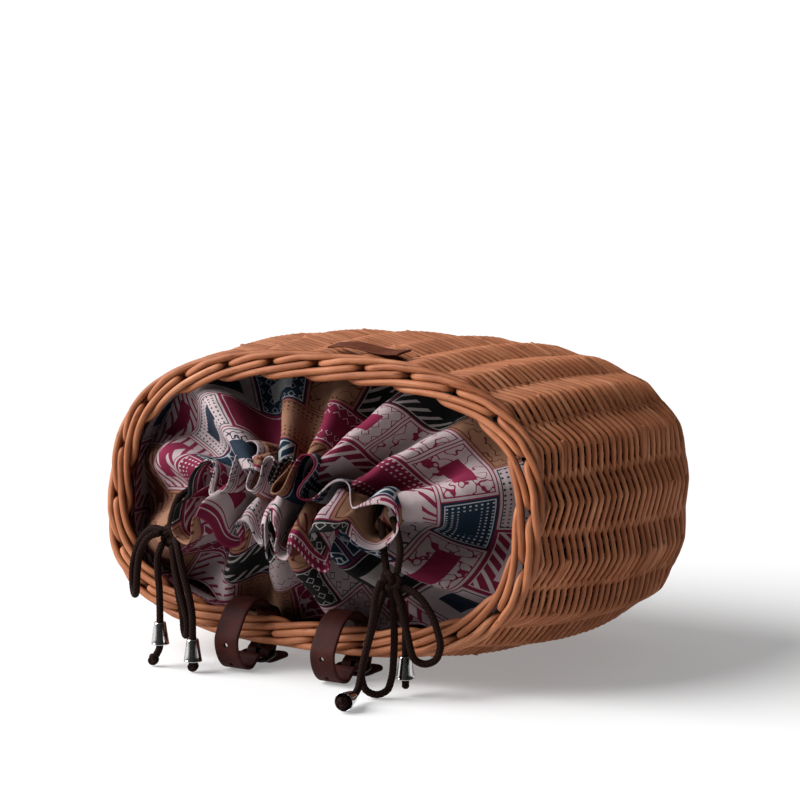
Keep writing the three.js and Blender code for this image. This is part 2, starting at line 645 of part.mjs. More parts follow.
const CORD_ROUTES = {
  left_stem_1: [[-101, -15.2, 138.6], [-108, -28.5, 130], [-109.6, -33.5, 120], [-108.9, -38.3, 110.6]],
  left_stem_2: [[-95.7, -18.9, 138.3], [-100.2, -28.5, 129], [-101, -33.5, 119.5], [-101.1, -38.3, 110.6]],
  left_loop_1: [
    [-112.2, -47.9, 105.7], [-119, -51.5, 103], [-126.5, -52.5, 93], [-130.5, -52.5, 78],
    [-132.2, -51.8, 64], [-134.5, -49.5, 56.2], [-140, -44, 53], [-145.5, -38.5, 56.2],
    [-147.8, -36.2, 64], [-146, -36, 80], [-138, -36.5, 97], [-126, -38.5, 106.5], [-113.4, -40.6, 106.7],
  ],
  left_loop_2: [
    [-101.7, -46.2, 95.3], [-98, -49.5, 85], [-93, -51.5, 70], [-87.5, -52, 52],
    [-84.2, -51.8, 37], [-86, -49.5, 28.7], [-91.5, -44, 25.5], [-97, -38.5, 28.7],
    [-99.3, -36.2, 37], [-103, -35.5, 52], [-106, -35.5, 68], [-107, -36.5, 82], [-106.4, -37.8, 94.8],
  ],
  left_end_1: [
    [-109.7, -48.1, 97.7], [-111.5, -51.8, 88], [-110.6, -53.4, 75], [-109.3, -53.5, 62],
    [-109, -53.5, 50], [-109, -53.5, 35], [-109, -53.5, 20], [-109, -53.5, 5],
  ],
  left_end_2: [
    [-97.1, -48.2, 104], [-90.5, -54, 95], [-84, -56.5, 77], [-78.5, -57, 60],
    [-75.8, -57, 46], [-75.5, -57, 32], [-75.5, -57, 18.5], [-75.5, -57, 5.3],
  ],
  right_stem_1: [[78.7, -28.5, 131.8], [84, -34, 120], [87.5, -38, 108], [91.8, -41.4, 95]],
  right_stem_2: [[84.9, -21.9, 132.9], [96, -33, 124], [101.5, -38, 110], [100.7, -41.2, 95.6]],
  right_loop_1: [
    [93.7, -49.1, 80.5], [91.5, -54, 68], [87.5, -57.5, 50], [83.5, -60, 31],
    [81.5, -60.7, 15], [84.3, -59, 6.6], [91, -55, 3.3], [97.7, -51, 6.6],
    [100.5, -49.3, 15], [101.8, -48, 32], [101.8, -47, 50], [100.5, -46.3, 66], [99.3, -45.4, 79.4],
  ],
  right_loop_2: [
    [103, -46.8, 82.5], [108.5, -49.4, 73], [112, -50, 61], [115.5, -50, 49],
    [117.6, -49.7, 40], [120.4, -48, 32.2], [127, -44, 29], [133.6, -40, 32.2],
    [136.4, -38.3, 40], [134, -38.5, 55], [126.5, -39, 70], [116, -40.5, 81], [104.7, -42.1, 85.2],
  ],
  right_end_1: [
    [94.1, -54.4, 89.6], [93.6, -60, 81], [92.5, -62, 66], [90, -64, 49], [87, -66.3, 33],
    [85.2, -68.2, 19.5], [85.6, -73, 10.8], [87, -81, 7.7], [90, -95.7, 7.7], [92.2, -106.5, 7.7],
  ],
  right_end_2: [
    [98, -38.6, 81.3], [101.5, -34.5, 70], [104.3, -34.8, 57], [105, -36, 45],
    [105, -36, 32], [105, -36, 19.5], [105, -36, 7],
  ],
};

// Each end's bell: how far its narrow end is from the cord's tip, and whether the tip is knotted too.
const CORD_ENDS = {
  left_end_1: { bell: 31, tipKnot: false },
  left_end_2: { bell: 21.7, tipKnot: true },
  right_end_1: { bell: 21.7, tipKnot: true },
  right_end_2: { bell: 24, tipKnot: false },
};

function makeKnot(radius, centre) {
  const [x, y, z] = centre.toArray();
  return new THREE.SphereGeometry(radius, 8, 6).translate(x, y, z);
}

function makeBell(top, along) {
  const inside = BELL_TOP - BELL_WALL;
  const bell = new THREE.LatheGeometry([
    new THREE.Vector2(BELL_BORE, 0),
    new THREE.Vector2(BELL_TOP, 0),
    new THREE.Vector2(BELL_MOUTH, -BELL_LENGTH),
    new THREE.Vector2(BELL_MOUTH - BELL_WALL, -BELL_LENGTH),
    new THREE.Vector2(inside, -2.4),
    new THREE.Vector2(BELL_BORE, -1.8),
    new THREE.Vector2(BELL_BORE, 0),
  ].reverse(), 12);
  bell.applyQuaternion(new THREE.Quaternion().setFromUnitVectors(new THREE.Vector3(0, -1, 0), along));
  return bell.translate(top.x, top.y, top.z);
}

for (const [side, centre] of Object.entries(BOW_KNOTS)) {
  const knot = new THREE.SphereGeometry(KNOT_RADIUS, 12, 8).translate(...centre);
  addPiece(object, `${side}_bow_knot`, knot, cord);
}
for (const [name, route] of Object.entries(CORD_ROUTES)) {
  const points = route.map((point) => new THREE.Vector3(...point));
  const tube = rod(points, CORD_RADIUS, CORD_SIDES);
  const end = CORD_ENDS[name];
  if (!end) {
    addPiece(object, name, tube, cord);
    continue;
  }
  const tip = points[points.length - 1];
  const along = tip.clone().sub(points[points.length - 2]).normalize();
  const top = tip.clone().addScaledVector(along, -end.bell);
  const knots = [makeKnot(END_KNOT, top.clone().addScaledVector(along, KNOT_IN_BELL))];
  if (end.tipKnot) knots.push(makeKnot(END_KNOT, tip));
  const solid = knots.reduce((sum, knot) => sum.add(toSolid(knot)), toSolid(tube));
  addPiece(object, name, fromSolid(solid), cord);
  addPiece(object, name.replace('end', 'bell'), makeBell(top, along), chrome);
}

// The origin is on the floor, in the middle of the basket and its straps.
const middle = body.getCenter(new THREE.Vector3());
object.position.set(-middle.x, -middle.y, -body.min.z);
const assembly = new THREE.Group();
assembly.add(object);

export default assembly;
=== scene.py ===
# %% [markdown]
# # A willow bicycle basket
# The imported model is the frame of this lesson. Every piece below is made in its own place and
# rides on one of the model's bodies. Sizes are written in millimetres, as a basket maker or a
# leather worker would measure them, and become metres when a mesh is made.

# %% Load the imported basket
import json
import math

import bmesh
import bpy
import numpy as np
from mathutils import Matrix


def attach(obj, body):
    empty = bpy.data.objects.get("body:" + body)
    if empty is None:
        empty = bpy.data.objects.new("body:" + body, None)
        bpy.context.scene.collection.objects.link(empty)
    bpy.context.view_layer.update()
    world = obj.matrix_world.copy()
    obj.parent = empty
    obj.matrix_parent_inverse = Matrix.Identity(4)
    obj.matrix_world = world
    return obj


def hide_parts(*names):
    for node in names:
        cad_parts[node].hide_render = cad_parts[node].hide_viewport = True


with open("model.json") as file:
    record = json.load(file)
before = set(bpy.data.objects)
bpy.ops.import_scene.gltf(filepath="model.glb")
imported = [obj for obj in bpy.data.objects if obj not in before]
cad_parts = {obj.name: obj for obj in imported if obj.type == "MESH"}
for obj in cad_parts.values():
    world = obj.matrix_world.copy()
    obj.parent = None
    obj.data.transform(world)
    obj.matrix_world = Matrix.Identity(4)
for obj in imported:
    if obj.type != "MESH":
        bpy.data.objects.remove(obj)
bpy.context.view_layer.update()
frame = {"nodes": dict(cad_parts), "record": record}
MM = 0.001
TURN = 2 * math.pi
chance = np.random.default_rng(7)

# %% [markdown]
# ## The camera
# The photograph was taken with a long lens from the right of the mouth and a little above it.
# The place was found by fitting the rim, the straps and the outline of the solids to it.

# %% Camera
CAMERA_PLACE = np.array([1271.4, -2092.8, 565.2])
CAMERA_AZIMUTH = math.radians(30.995)
CAMERA_ELEVATION = math.radians(8.488)
SENSOR = 36
LENS = 138.77


def add_object(name, data):
    """A new object with this data, at the origin, in the scene."""
    made = bpy.data.objects.new(name, data)
    bpy.context.scene.collection.objects.link(made)
    return made


camera_data = bpy.data.cameras.new("camera")
camera_data.sensor_width = SENSOR
camera_data.lens = LENS
camera = add_object("camera", camera_data)
camera.location = CAMERA_PLACE * MM
camera.rotation_euler = (math.pi / 2 - CAMERA_ELEVATION, 0, CAMERA_AZIMUTH)
bpy.context.scene.camera = camera
print("camera", [round(x, 3) for x in camera.location])

# %% [markdown]
# ## From arrays to meshes
# A surface is a grid of points, so one function numbers the corners of its cells and another
# puts points and cells into a mesh. A sheet has four edges, a tube goes on round its girth to its
# start, and a ring does so along its length as well. Marks are numbers kept on each point, such as
# how far along a rod it lies, and the materials read them, so grain follows the rod and not the
# world.


# %% Mesh helpers
def unit(vectors):
    """Each vector divided by its own length."""
    return vectors / np.linalg.norm(vectors, axis=-1, keepdims=True)


def grid_cells(rows, columns, wrap_rows=False, wrap_columns=False, copies=1):
    """Corners of a grid's cells: (i, j), (i, j + 1), (i + 1, j + 1), (i + 1, j), where a wrapped
    side goes on to its start, and each copy of the grid counts on from the last one."""
    i, j = np.meshgrid(np.arange(rows if wrap_rows else rows - 1),
                       np.arange(columns if wrap_columns else columns - 1), indexing="ij")
    i2, j2 = (i + 1) % rows, (j + 1) % columns
    cells = np.stack([i * columns + j, i * columns + j2, i2 * columns + j2, i2 * columns + j], -1)
    starts = np.arange(copies)[:, None, None] * rows * columns
    return (cells.reshape(1, -1, 4) + starts).reshape(-1, 4)


WELD = 1e-6
SHEET, TUBE, RING = (False, False), (False, True), (True, True)


def new_mesh(name, points, cells):
    """A mesh of points in millimetres and the cells between them."""
    mesh = bpy.data.meshes.new(name)
    mesh.from_pydata((points.reshape(-1, 3) * MM).tolist(), [], cells.tolist())
    return mesh


def weld(mesh, closed):
    """Joins points that lie on each other, which closes poles and seams, and turns the faces of a
    closed shell outwards."""
    shell = bmesh.new()
    shell.from_mesh(mesh)
    bmesh.ops.remove_doubles(shell, verts=shell.verts, dist=WELD)
    if closed:
        bmesh.ops.recalc_face_normals(shell, faces=shell.faces)
    shell.to_mesh(mesh)
    shell.free()


def add_piece(name, points, wrap, material, slot, body="basket", nodes=(), closed=True, **marks):
    """A grid of points in millimetres in the row frame, or copies of one, made into a mesh that
    rides on a body in place of CAD nodes. Wrap says whether rows and columns go on to their
    start."""
    *copies, rows, columns, _ = points.shape
    mesh = new_mesh(name, points, grid_cells(rows, columns, *wrap, *copies))
    mesh.polygons.foreach_set("use_smooth", np.ones(len(mesh.polygons), bool))
    for key, values in marks.items():
        kind = "FLOAT" if values.ndim == points.ndim - 1 else "FLOAT_VECTOR"
        layer = mesh.attributes.new(key, kind, "POINT")
        layer.data.foreach_set("value" if kind == "FLOAT" else "vector", values.ravel())
    weld(mesh, closed)
    mesh.materials.append(material)
    piece = add_object(name, mesh)
    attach(piece, body)
    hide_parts(*nodes)
    print(name, len(mesh.vertices), "points", len(mesh.polygons), "cells")
    return piece


# %% [markdown]
# ## Paths and rods
# Willow rods, cords and wires are all a round section carried along a path. The section must not
# twist, so its first direction is carried along and only straightened against the path.


# %% Path and rod helpers
FINE_STEPS = 40
NEARLY_UPRIGHT = 0.9
CUT_CROWN = 1.2


def smooth_path(points, count):
    """Cubic pieces through the points, whose slopes are the weighted mean of the chords on both
    sides, then cut again into steps of even length."""
    points = np.asarray(points, float)
    knots = np.r_[0, np.cumsum(np.linalg.norm(np.diff(points, axis=0), axis=1))]
    slopes = np.gradient(points, knots, axis=0)
    fine = np.linspace(0, knots[-1], FINE_STEPS * len(points))
    at = np.clip(np.searchsorted(knots, fine, "right") - 1, 0, len(points) - 2)
    step = np.diff(knots)[at][:, None]
    t = (fine - knots[at])[:, None] / step
    curve = ((1 + 2 * t) * (1 - t) ** 2 * points[at] + t * (1 - t) ** 2 * step * slopes[at]
             + t * t * (3 - 2 * t) * points[at + 1] - t * t * (1 - t) * step * slopes[at + 1])
    run = np.r_[0, np.cumsum(np.linalg.norm(np.diff(curve, axis=0), axis=1))]
    even = np.linspace(0, run[-1], count)
    return np.stack([np.interp(even, run, curve[:, axis]) for axis in range(3)], -1)


def run_length(paths):
    """Length walked along each path up to each of its points."""
    steps = np.linalg.norm(np.diff(paths, axis=1), axis=-1)
    return np.concatenate([np.zeros((len(paths), 1)), np.cumsum(steps, axis=1)], 1)


def path_frames(paths, closed=False, guide=None):
    """Direction, normal and binormal along paths. A closed path takes its normal from a guide
    direction. Otherwise the last normal is carried on, less its part along the path."""
    ahead = np.roll(paths, -1, 1) - np.roll(paths, 1, 1) if closed else np.gradient(paths, axis=1)
    along = unit(ahead)
    if guide is None:
        flat = np.abs(along[:, 0, 2:]) < NEARLY_UPRIGHT
        normals = [unit(np.cross(along[:, 0], np.where(flat, [0, 0, 1.0], [1.0, 0, 0])))]
        for now in np.moveaxis(along[:, 1:], 1, 0):
            last = normals[-1]
            normals.append(unit(last - np.sum(last * now, -1, keepdims=True) * now))
        normals = np.stack(normals, 1)
    else:
        normals = unit(guide - np.sum(guide * along, -1, keepdims=True) * along)
    return along, normals, np.cross(along, normals)


def rod_points(paths, radii, sides, closed=False, guide=None):
    """centre + radius (cos t normal + sin t binormal) for each side t, with the fibre mark
    (radius cos t, radius sin t, length along) that wood grain and braid read."""
    _, normals, binormals = path_frames(paths, closed, guide)
    t = np.arange(sides) / sides * TURN
    radii = np.broadcast_to(radii, (*paths.shape[:2], sides))[..., None]
    across = np.cos(t)[:, None] * normals[:, :, None] + np.sin(t)[:, None] * binormals[:, :, None]
    walked = np.broadcast_to(run_length(paths)[:, :, None], radii.shape[:3])
    fibre = np.stack([radii[..., 0] * np.cos(t), radii[..., 0] * np.sin(t), walked], -1)
    return paths[:, :, None] + radii * across, fibre


def with_ends(paths, radii, bevel=0.35):
    """Two more steps at both ends of each rod: a small bevel, and a closing point in the cut."""
    first, last = paths[:, :1], paths[:, -1:]
    back = unit(first - paths[:, 1:2]) * bevel
    on = unit(last - paths[:, -2:-1]) * bevel
    longer = [first + CUT_CROWN * back, first + back, paths, last + on, last + CUT_CROWN * on]
    point = np.zeros_like(radii[:, :1])
    ends = [point, radii[:, :1] - bevel, radii, radii[:, -1:] - bevel, point]
    return np.concatenate(longer, 1), np.concatenate(ends, 1)


# %% [markdown]
# ## Materials in nodes
# Colours are written as sRGB hex values, as a paint chart gives them, and turned to the linear
# values that the shader mixes. One function adds a node, sets it and links it.


# %% Material helpers
def linear(hex_colour):
    """sRGB to linear: c / 12.92 for dark values, otherwise ((c + 0.055) / 1.055) to the 2.4."""
    value = np.array([int(hex_colour[i:i + 2], 16) / 255 for i in (1, 3, 5)])
    curve = np.where(value <= 0.04045, value / 12.92, ((value + 0.055) / 1.055) ** 2.4)
    return (*curve.tolist(), 1.0)


def feed(material, node, inputs):
    """Gives each input a value, or a link from another node's output."""
    for key, value in inputs.items():
        if isinstance(value, bpy.types.NodeSocket):
            material.node_tree.links.new(value, node.inputs[key])
        else:
            node.inputs[key].default_value = value


def add_node(material, kind, inputs=None, stops=None, out=0, **settings):
    """Adds a node with its settings, ramp stops and inputs, and returns one of its outputs."""
    node = material.node_tree.nodes.new("ShaderNode" + kind)
    for key, value in settings.items():
        setattr(node, key, value)
    if stops:
        elements = node.color_ramp.elements
        while len(elements) < len(stops):
            elements.new(0.5)
        for element, (place, hex_colour) in zip(elements, stops):
            element.position = place
            element.color = linear(hex_colour)
    feed(material, node, inputs or {})
    return node.outputs[out]


def new_material(name, **constants):
    """A material and its shader, with the values that are the same all over the surface."""
    material = bpy.data.materials.new(name)
    material.use_nodes = True
    shader = material.node_tree.nodes["Principled BSDF"]
    feed(material, shader, {key.replace("_", " "): value for key, value in constants.items()})
    print("material", name)
    return material, shader


# %% [markdown]
# ## Drawcord
# The liner is drawn shut by a soft braided cotton cord, 5.5 mm thick, near black. A braid has
# two sets of yarns that wind opposite ways. They could be drawn one by one, but at this size a
# relief on the tube gives the same look with a tenth of the faces.

# %% Cord material: soft braided cotton, dyed black, so matt with hardly a sheen
YARN_PITCH = 3.2
FUZZ = 0.625
FUZZ_SHARE = 0.5
CORD_DYE_AND_GROOVE_SHADE = [(0.15, "#040101"), (0.7, "#100806"), (1.0, "#241613")]
cord_cotton, shader = new_material("braided_cotton_cord", Roughness=0.85, IOR=1.5,
                                   Specular_IOR_Level=0.05)
braid = add_node(cord_cotton, "Attribute", attribute_name="braid", out=2)
fibre = add_node(cord_cotton, "Attribute", attribute_name="fibre", out=1)
fuzz = add_node(cord_cotton, "TexNoise", {"Vector": fibre, "Scale": 1 / FUZZ, "Detail": 4.0})
# Painted shade: the colour is darker where the braid relief is low, in the grooves between the
# yarns, and lighter on the yarns that lie on top. The fuzz adds the cotton's own uneven tone.
shade = add_node(cord_cotton, "Math", {0: fuzz, 1: FUZZ_SHARE, 2: braid}, operation="MULTIPLY_ADD")
tint = add_node(cord_cotton, "ValToRGB", {"Fac": shade}, stops=CORD_DYE_AND_GROOVE_SHADE)
bump = add_node(cord_cotton, "Bump", {"Strength": 0.5, "Distance": 0.0004, "Height": fuzz})
feed(cord_cotton, shader, {"Base Color": tint, "Normal": bump})

# %% [markdown]
# The two bows hang from the gathered cloth. Each has two strands that come out of the channel,
# a knot, two loops and two ends, and each end carries a small bell. The points are those of the
# solids, so the cords lie where the solids are. Only the tip of the first left end is bent.

# %% Cord routes
CORD_SHIFT = np.array([-0.0137, -107.0917, 0])
CORD_RADIUS = 2.75
KNOTS = {"left": (-105, -42, 103), "right": (96, -44, 88)}
ROUTES = {
    "left_stem_1": [(-101, -15.2, 138.6), (-108, -28.5, 130), (-109.6, -33.5, 120),
                    (-108.9, -38.3, 110.6)],
    "left_stem_2": [(-95.7, -18.9, 138.3), (-100.2, -28.5, 129), (-101, -33.5, 119.5),
                    (-101.1, -38.3, 110.6)],
    "left_loop_1": [(-112.2, -47.9, 105.7), (-119, -51.5, 103), (-126.5, -52.5, 93),
                    (-130.5, -52.5, 78), (-132.2, -51.8, 64), (-134.5, -49.5, 56.2),
                    (-140, -44, 53), (-145.5, -38.5, 56.2), (-147.8, -36.2, 64),
                    (-146, -36, 80), (-138, -36.5, 97), (-126, -38.5, 106.5),
                    (-113.4, -40.6, 106.7)],
    "left_loop_2": [(-101.7, -46.2, 95.3), (-98, -49.5, 85), (-93, -51.5, 70),
                    (-87.5, -52, 52), (-84.2, -51.8, 37), (-86, -49.5, 28.7),
                    (-91.5, -44, 25.5), (-97, -38.5, 28.7), (-99.3, -36.2, 37),
                    (-103, -35.5, 52), (-106, -35.5, 68), (-107, -36.5, 82),
                    (-106.4, -37.8, 94.8)],
    "left_end_1": [(-109.7, -48.1, 97.7), (-111.5, -51.8, 88), (-110.6, -53.4, 75),
                   (-109.3, -53.5, 62), (-109, -53.5, 50), (-109, -53.5, 35),
                   (-109, -53.5, 23), (-109.6, -53.8, 15), (-114, -56, 5.6)],
    "left_end_2": [(-97.1, -48.2, 104), (-90.5, -54, 95), (-84, -56.5, 77),
                   (-78.5, -57, 60), (-75.8, -57, 46), (-75.5, -57, 32),
                   (-75.5, -57, 18.5), (-75.5, -57, 5.3)],
    "right_stem_1": [(78.7, -28.5, 131.8), (84, -34, 120), (87.5, -38, 108),
                     (91.8, -41.4, 95)],
    "right_stem_2": [(84.9, -21.9, 132.9), (96, -33, 124), (101.5, -38, 110),
                     (100.7, -41.2, 95.6)],
    "right_loop_1": [(93.7, -49.1, 80.5), (91.5, -54, 68), (87.5, -57.5, 50),
                     (83.5, -60, 31), (81.5, -60.7, 15), (84.3, -59, 6.6), (91, -55, 3.3),
                     (97.7, -51, 6.6), (100.5, -49.3, 15), (101.8, -48, 32),
                     (101.8, -47, 50), (100.5, -46.3, 66), (99.3, -45.4, 79.4)],
    "right_loop_2": [(103, -46.8, 82.5), (108.5, -49.4, 73), (112, -50, 61),
                     (115.5, -50, 49), (117.6, -49.7, 40), (120.4, -48, 32.2),
                     (127, -44, 29), (133.6, -40, 32.2), (136.4, -38.3, 40),
                     (134, -38.5, 55), (126.5, -39, 70), (116, -40.5, 81),
                     (104.7, -42.1, 85.2)],
    "right_end_1": [(94.1, -54.4, 89.6), (93.6, -60, 81), (92.5, -62, 66), (90, -64, 49),
                    (87, -66.3, 33), (85.2, -68.2, 19.5), (85.6, -73, 10.8),
                    (87, -81, 7.7), (90, -95.7, 7.7), (92.2, -106.5, 7.7)],
    "right_end_2": [(98, -38.6, 81.3), (101.5, -34.5, 70), (104.3, -34.8, 57),
                    (105, -36, 45), (105, -36, 32), (105, -36, 19.5), (105, -36, 7)],
}
cord_paths = {name: np.array(route) + CORD_SHIFT for name, route in ROUTES.items()}
print("cord strands", len(cord_paths))


# %% Braided tubes
CORD_SIDES = 24
CORD_BEVEL = 1.3
BRAID_LOW = 0.95
CORD_STEP = 0.8
ROUTE_POINTS = 24
MEASURE_POINTS = 400


def braid_relief(fibre, pitch):
    """Two sets of yarns wind opposite ways, and the higher of the two waves shows: the larger of
    cos(4 turn + along) and cos(4 turn - along), from 0 to 1."""
    turn = np.arctan2(fibre[..., 1], fibre[..., 0])
    along = TURN * fibre[..., 2] / pitch
    return 0.5 + 0.5 * np.maximum(np.cos(4 * turn + along), np.cos(4 * turn - along))


def braided_tube(name, path, radius, nodes, closed=False, guide=None):
    """A cord whose radius swells by a twelfth of itself where a yarn passes on top."""
    paths = path[None]
    radii = np.full((1, len(path), 1), radius)
    if not closed:
        paths, radii = with_ends(paths, radii[..., 0], CORD_BEVEL)
        radii = radii[..., None]
    _, fibre = rod_points(paths, radii, CORD_SIDES, closed, guide)
    relief = braid_relief(fibre, YARN_PITCH)
    radii = radii * (BRAID_LOW + relief / 12)
    points, fibre = rod_points(paths, radii, CORD_SIDES, closed, guide)
    return add_piece(name, points, (closed, True), cord_cotton, "cord", nodes=nodes,
                     braid=relief, fibre=fibre)


cords = {}
for name, path in cord_paths.items():
    length = run_length(smooth_path(path, MEASURE_POINTS)[None])[0, -1]
    line = smooth_path(path, int(length / CORD_STEP))
    cords[name] = braided_tube(f"{name}_cord", line, CORD_RADIUS, [name])
    cords[name]["cord_length"] = float(length)
print({name: round(piece["cord_length"]) for name, piece in cords.items()})


# %% [markdown]
# A knot is the same cord wound round itself. A trefoil is the simplest closed curve that shows
# the crossings of a tight knot from every side.


# %% Knots
def knot_path(centre, reach, radius, count):
    """Trefoil: (2 + cos 3t) along (cos 2t, sin 2t), and sin 3t high, in a size that reaches as far
    as the knot does. The guide points from the middle of the ring that it winds round."""
    t = np.arange(count) / count * TURN
    scale = (reach - radius) / 3
    ring = np.stack([2 * np.cos(2 * t), 0 * t, 2 * np.sin(2 * t)], -1)
    out = np.stack([np.cos(3 * t) * np.cos(2 * t), np.sin(3 * t),
                    np.cos(3 * t) * np.sin(2 * t)], -1)
    return np.array(centre) + scale * (ring + out), out[None]


BOW_KNOT_REACH = 10.2
BOW_KNOT_STEPS = 160
END_KNOT_REACH = 5
END_KNOT_STEPS = 96
END_KNOT_CORD = 1.9
KNOT_IN_BELL = 11.5
BELL_TOPS = {"left_end_1": (-109, -53.5, 36), "left_end_2": (-75.5, -57, 27),
             "right_end_1": (87.868, -85.237, 7.7), "right_end_2": (105, -36, 31)}
HANGING = np.array([0, 0, -1.0])
BELL_AXES = {"right_end_1": np.array([0.19961, -0.97987, 0])}
TIP_KNOTS = ("left_end_1", "left_end_2", "right_end_1")

for side, centre in KNOTS.items():
    middle = np.array(centre) + CORD_SHIFT
    path, out = knot_path(middle, BOW_KNOT_REACH, CORD_RADIUS, BOW_KNOT_STEPS)
    braided_tube(f"{side}_bow_knot_cord", path, CORD_RADIUS, [f"{side}_bow_knot"], True, out)
bell_places = {}
end_knots = {}
for name, top in BELL_TOPS.items():
    tip = cord_paths[name][-1]
    along = BELL_AXES.get(name, HANGING)
    bell_places[name] = (np.array(top) + CORD_SHIFT, along)
    centres = [bell_places[name][0] + along * KNOT_IN_BELL] + [tip] * (name in TIP_KNOTS)
    end_knots[name] = []
    for number, centre in enumerate(centres):
        path, out = knot_path(centre, END_KNOT_REACH, END_KNOT_CORD, END_KNOT_STEPS)
        knot = braided_tube(f"{name}_knot_{number}", path, END_KNOT_CORD, [], True, out)
        end_knots[name].append(knot)

# %% [markdown]
# ## Bells
# The cord ends carry little conical bells of bright plated steel. A bell is turned or drawn, so
# its shape is a profile spun round the cord: a flat crown with a hole, a rounded shoulder, a
# straight flare and a rolled lip.

# %% Bell metal: chromed steel, mirror bright with faint polishing haze
HAZE_SCALE = 700.0  # specks of 1.4 mm
chrome, shader = new_material("chromed_steel", Metallic=1.0)
place = add_node(chrome, "TexCoord", out=3)
haze = add_node(chrome, "TexNoise", {"Vector": place, "Scale": HAZE_SCALE, "Detail": 3.0})
rough = add_node(chrome, "MapRange", {"Value": haze, 3: 0.04, 4: 0.1})
tint = add_node(chrome, "ValToRGB", {"Fac": haze}, stops=[(0.3, "#b4b2b2"), (0.7, "#cfcdcc")])
feed(chrome, shader, {"Base Color": tint, "Roughness": rough})

# %% Spun bells
BELL_PROFILE = [(3.25, 0), (4.2, 0), (4.6, 0.35), (4.85, 1.2), (5.7, 7), (6.7, 13.6), (7.15, 16.7),
                (7.4, 17.1), (7.3, 17.5), (6.8, 17.4), (6.4, 15.5), (4.9, 6.5), (3.9, 2.3),
                (3.25, 1.8)]
BELL_SIDES = 40
ASIDE = (0.3, 0.2, 0.9)


def spun(profile, place, along, sides):
    """Each profile point (radius, distance) turned about the line through place: the place plus
    distance along the line plus radius times a direction square to it."""
    profile = np.array(profile)
    across = unit(np.cross(along, ASIDE))
    third = np.cross(along, across)
    t = np.arange(sides) / sides * TURN
    ring = np.cos(t)[:, None] * across + np.sin(t)[:, None] * third
    return place + profile[:, None, 1:] * along + profile[:, None, :1] * ring


for name, (place, along) in bell_places.items():
    bell = name.replace("end", "bell")
    points = spun(BELL_PROFILE, place, along, BELL_SIDES)
    add_piece(f"{bell}_shell", points, RING, chrome, "bell_metal", f"{bell}_body", [bell])

for name, piece in cords.items():
    kind = name.split("_")[1]
    extra = end_knots.get(name, [])
    if kind == "end":
        extra = extra + [bpy.data.objects[f"{name.replace('end', 'bell')}_shell"]]
    smooth_path(cord_paths[name], ROUTE_POINTS) * MM

# %% [markdown]
# ## The basket's form
# The basket is a squared oval that swells from the mouth to the belly and draws in to the heel.
# The same formula makes the solids, so the weave lies on them. A place on it is given by the
# angle round the mouth, the depth from the mouth and the inset from the outer face.

# %% Driving sizes of the basket
MOUTH = (390, 226)
BELLY = (436, 248)
HEEL = (410, 229)
DEPTH = 260
HEEL_ROUND = 34
HEEL_RISE = 6
FRONT_SQUARE, BACK_SQUARE, HEEL_SQUARE = 2.65, 2.9, 2.96
MOUTH_SLOPE = math.radians(4.7)
REST_PITCH = math.radians(5)
STAKES = 24
STAKE_SHIFT = -6.5
SIDING_TOP = 12.7
ROUND_STEPS = 4001


# %% Basket form
def swell(axis, t):
    """Parabola through the mouth at t = 0, the belly at a half and the heel at 1."""
    return (MOUTH[axis] * (1 - t) * (1 - 2 * t) + BELLY[axis] * 4 * t * (1 - t)
            + HEEL[axis] * t * (2 * t - 1))


def squared(value, square):
    """Sign times the size to the power 2 / square: 2 gives a circle, more gives squarer corners."""
    return np.sign(value) * np.abs(value) ** (2 / square)


def wall_point(angle, depth, inset):
    """Width from squared cosine, height from squared sine, each times half its swell less the
    inset. Depth runs along y, and the mouth's plane slopes by the height."""
    angle, depth, inset = np.broadcast_arrays(angle, depth, inset)
    t = depth / DEPTH
    mouth_square = np.where(np.sin(angle) >= 0, FRONT_SQUARE, BACK_SQUARE)
    square = mouth_square + (HEEL_SQUARE - mouth_square) * t
    x = squared(np.cos(angle), square) * (swell(0, t) / 2 - inset)
    z = squared(np.sin(angle), square) * (swell(1, t) / 2 - inset) + HEEL_RISE * t
    return np.stack([x, depth + z * math.tan(MOUTH_SLOPE) * (1 - t), z], -1)


def meridian(offset, part):
    """Depth and inset of a line behind the outer face: down the wall while part is under 1, then
    a quarter circle round the heel as it goes on to 2."""
    end = DEPTH - HEEL_ROUND
    turn = np.clip(part - 1, 0, 1) * math.pi / 2
    bend = HEEL_ROUND - offset
    wall = SIDING_TOP + np.minimum(part, 1) * (end - SIDING_TOP)
    return wall + bend * np.sin(turn), offset + bend * (1 - np.cos(turn))


around = np.linspace(-math.pi / 2, 1.5 * math.pi, ROUND_STEPS)
mouth_run = run_length(wall_point(around, 0, 0)[None])[0]
perimeter = mouth_run[-1]


def stake_angle(stake):
    """Angle at a stake's number, even steps of length round the mouth from the back's middle."""
    length = STAKE_SHIFT + (2 * np.asarray(stake) + 1) / (2 * STAKES) * perimeter
    turns = np.floor(length / perimeter)
    return np.interp(length - turns * perimeter, mouth_run, around) + turns * TURN


base_middle = np.array(frame["record"]["mounts"][0]["pos_m"]) / MM


def pitched(points, angle):
    """Points turned about the x axis: y cos - z sin and y sin + z cos."""
    c, s = math.cos(angle), math.sin(angle)
    return points @ np.array([[1, 0, 0], [0, c, -s], [0, s, c]]).T


def to_floor(points):
    """The basket leans back by its rest pitch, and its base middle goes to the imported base."""
    return pitched(points - [0, DEPTH, HEEL_RISE], -REST_PITCH) + base_middle


print("mouth perimeter", round(perimeter), "mm, stakes every", round(perimeter / STAKES, 1), "mm")

# %% [markdown]
# ## Stained willow
# Peeled willow rods are steamed and stained brown. Each rod takes the stain a little differently,
# long fibres run along it, and old leaf scars leave small dark spots. The surface is smooth under a
# thin, dull wax, so it shines only softly along the rod.

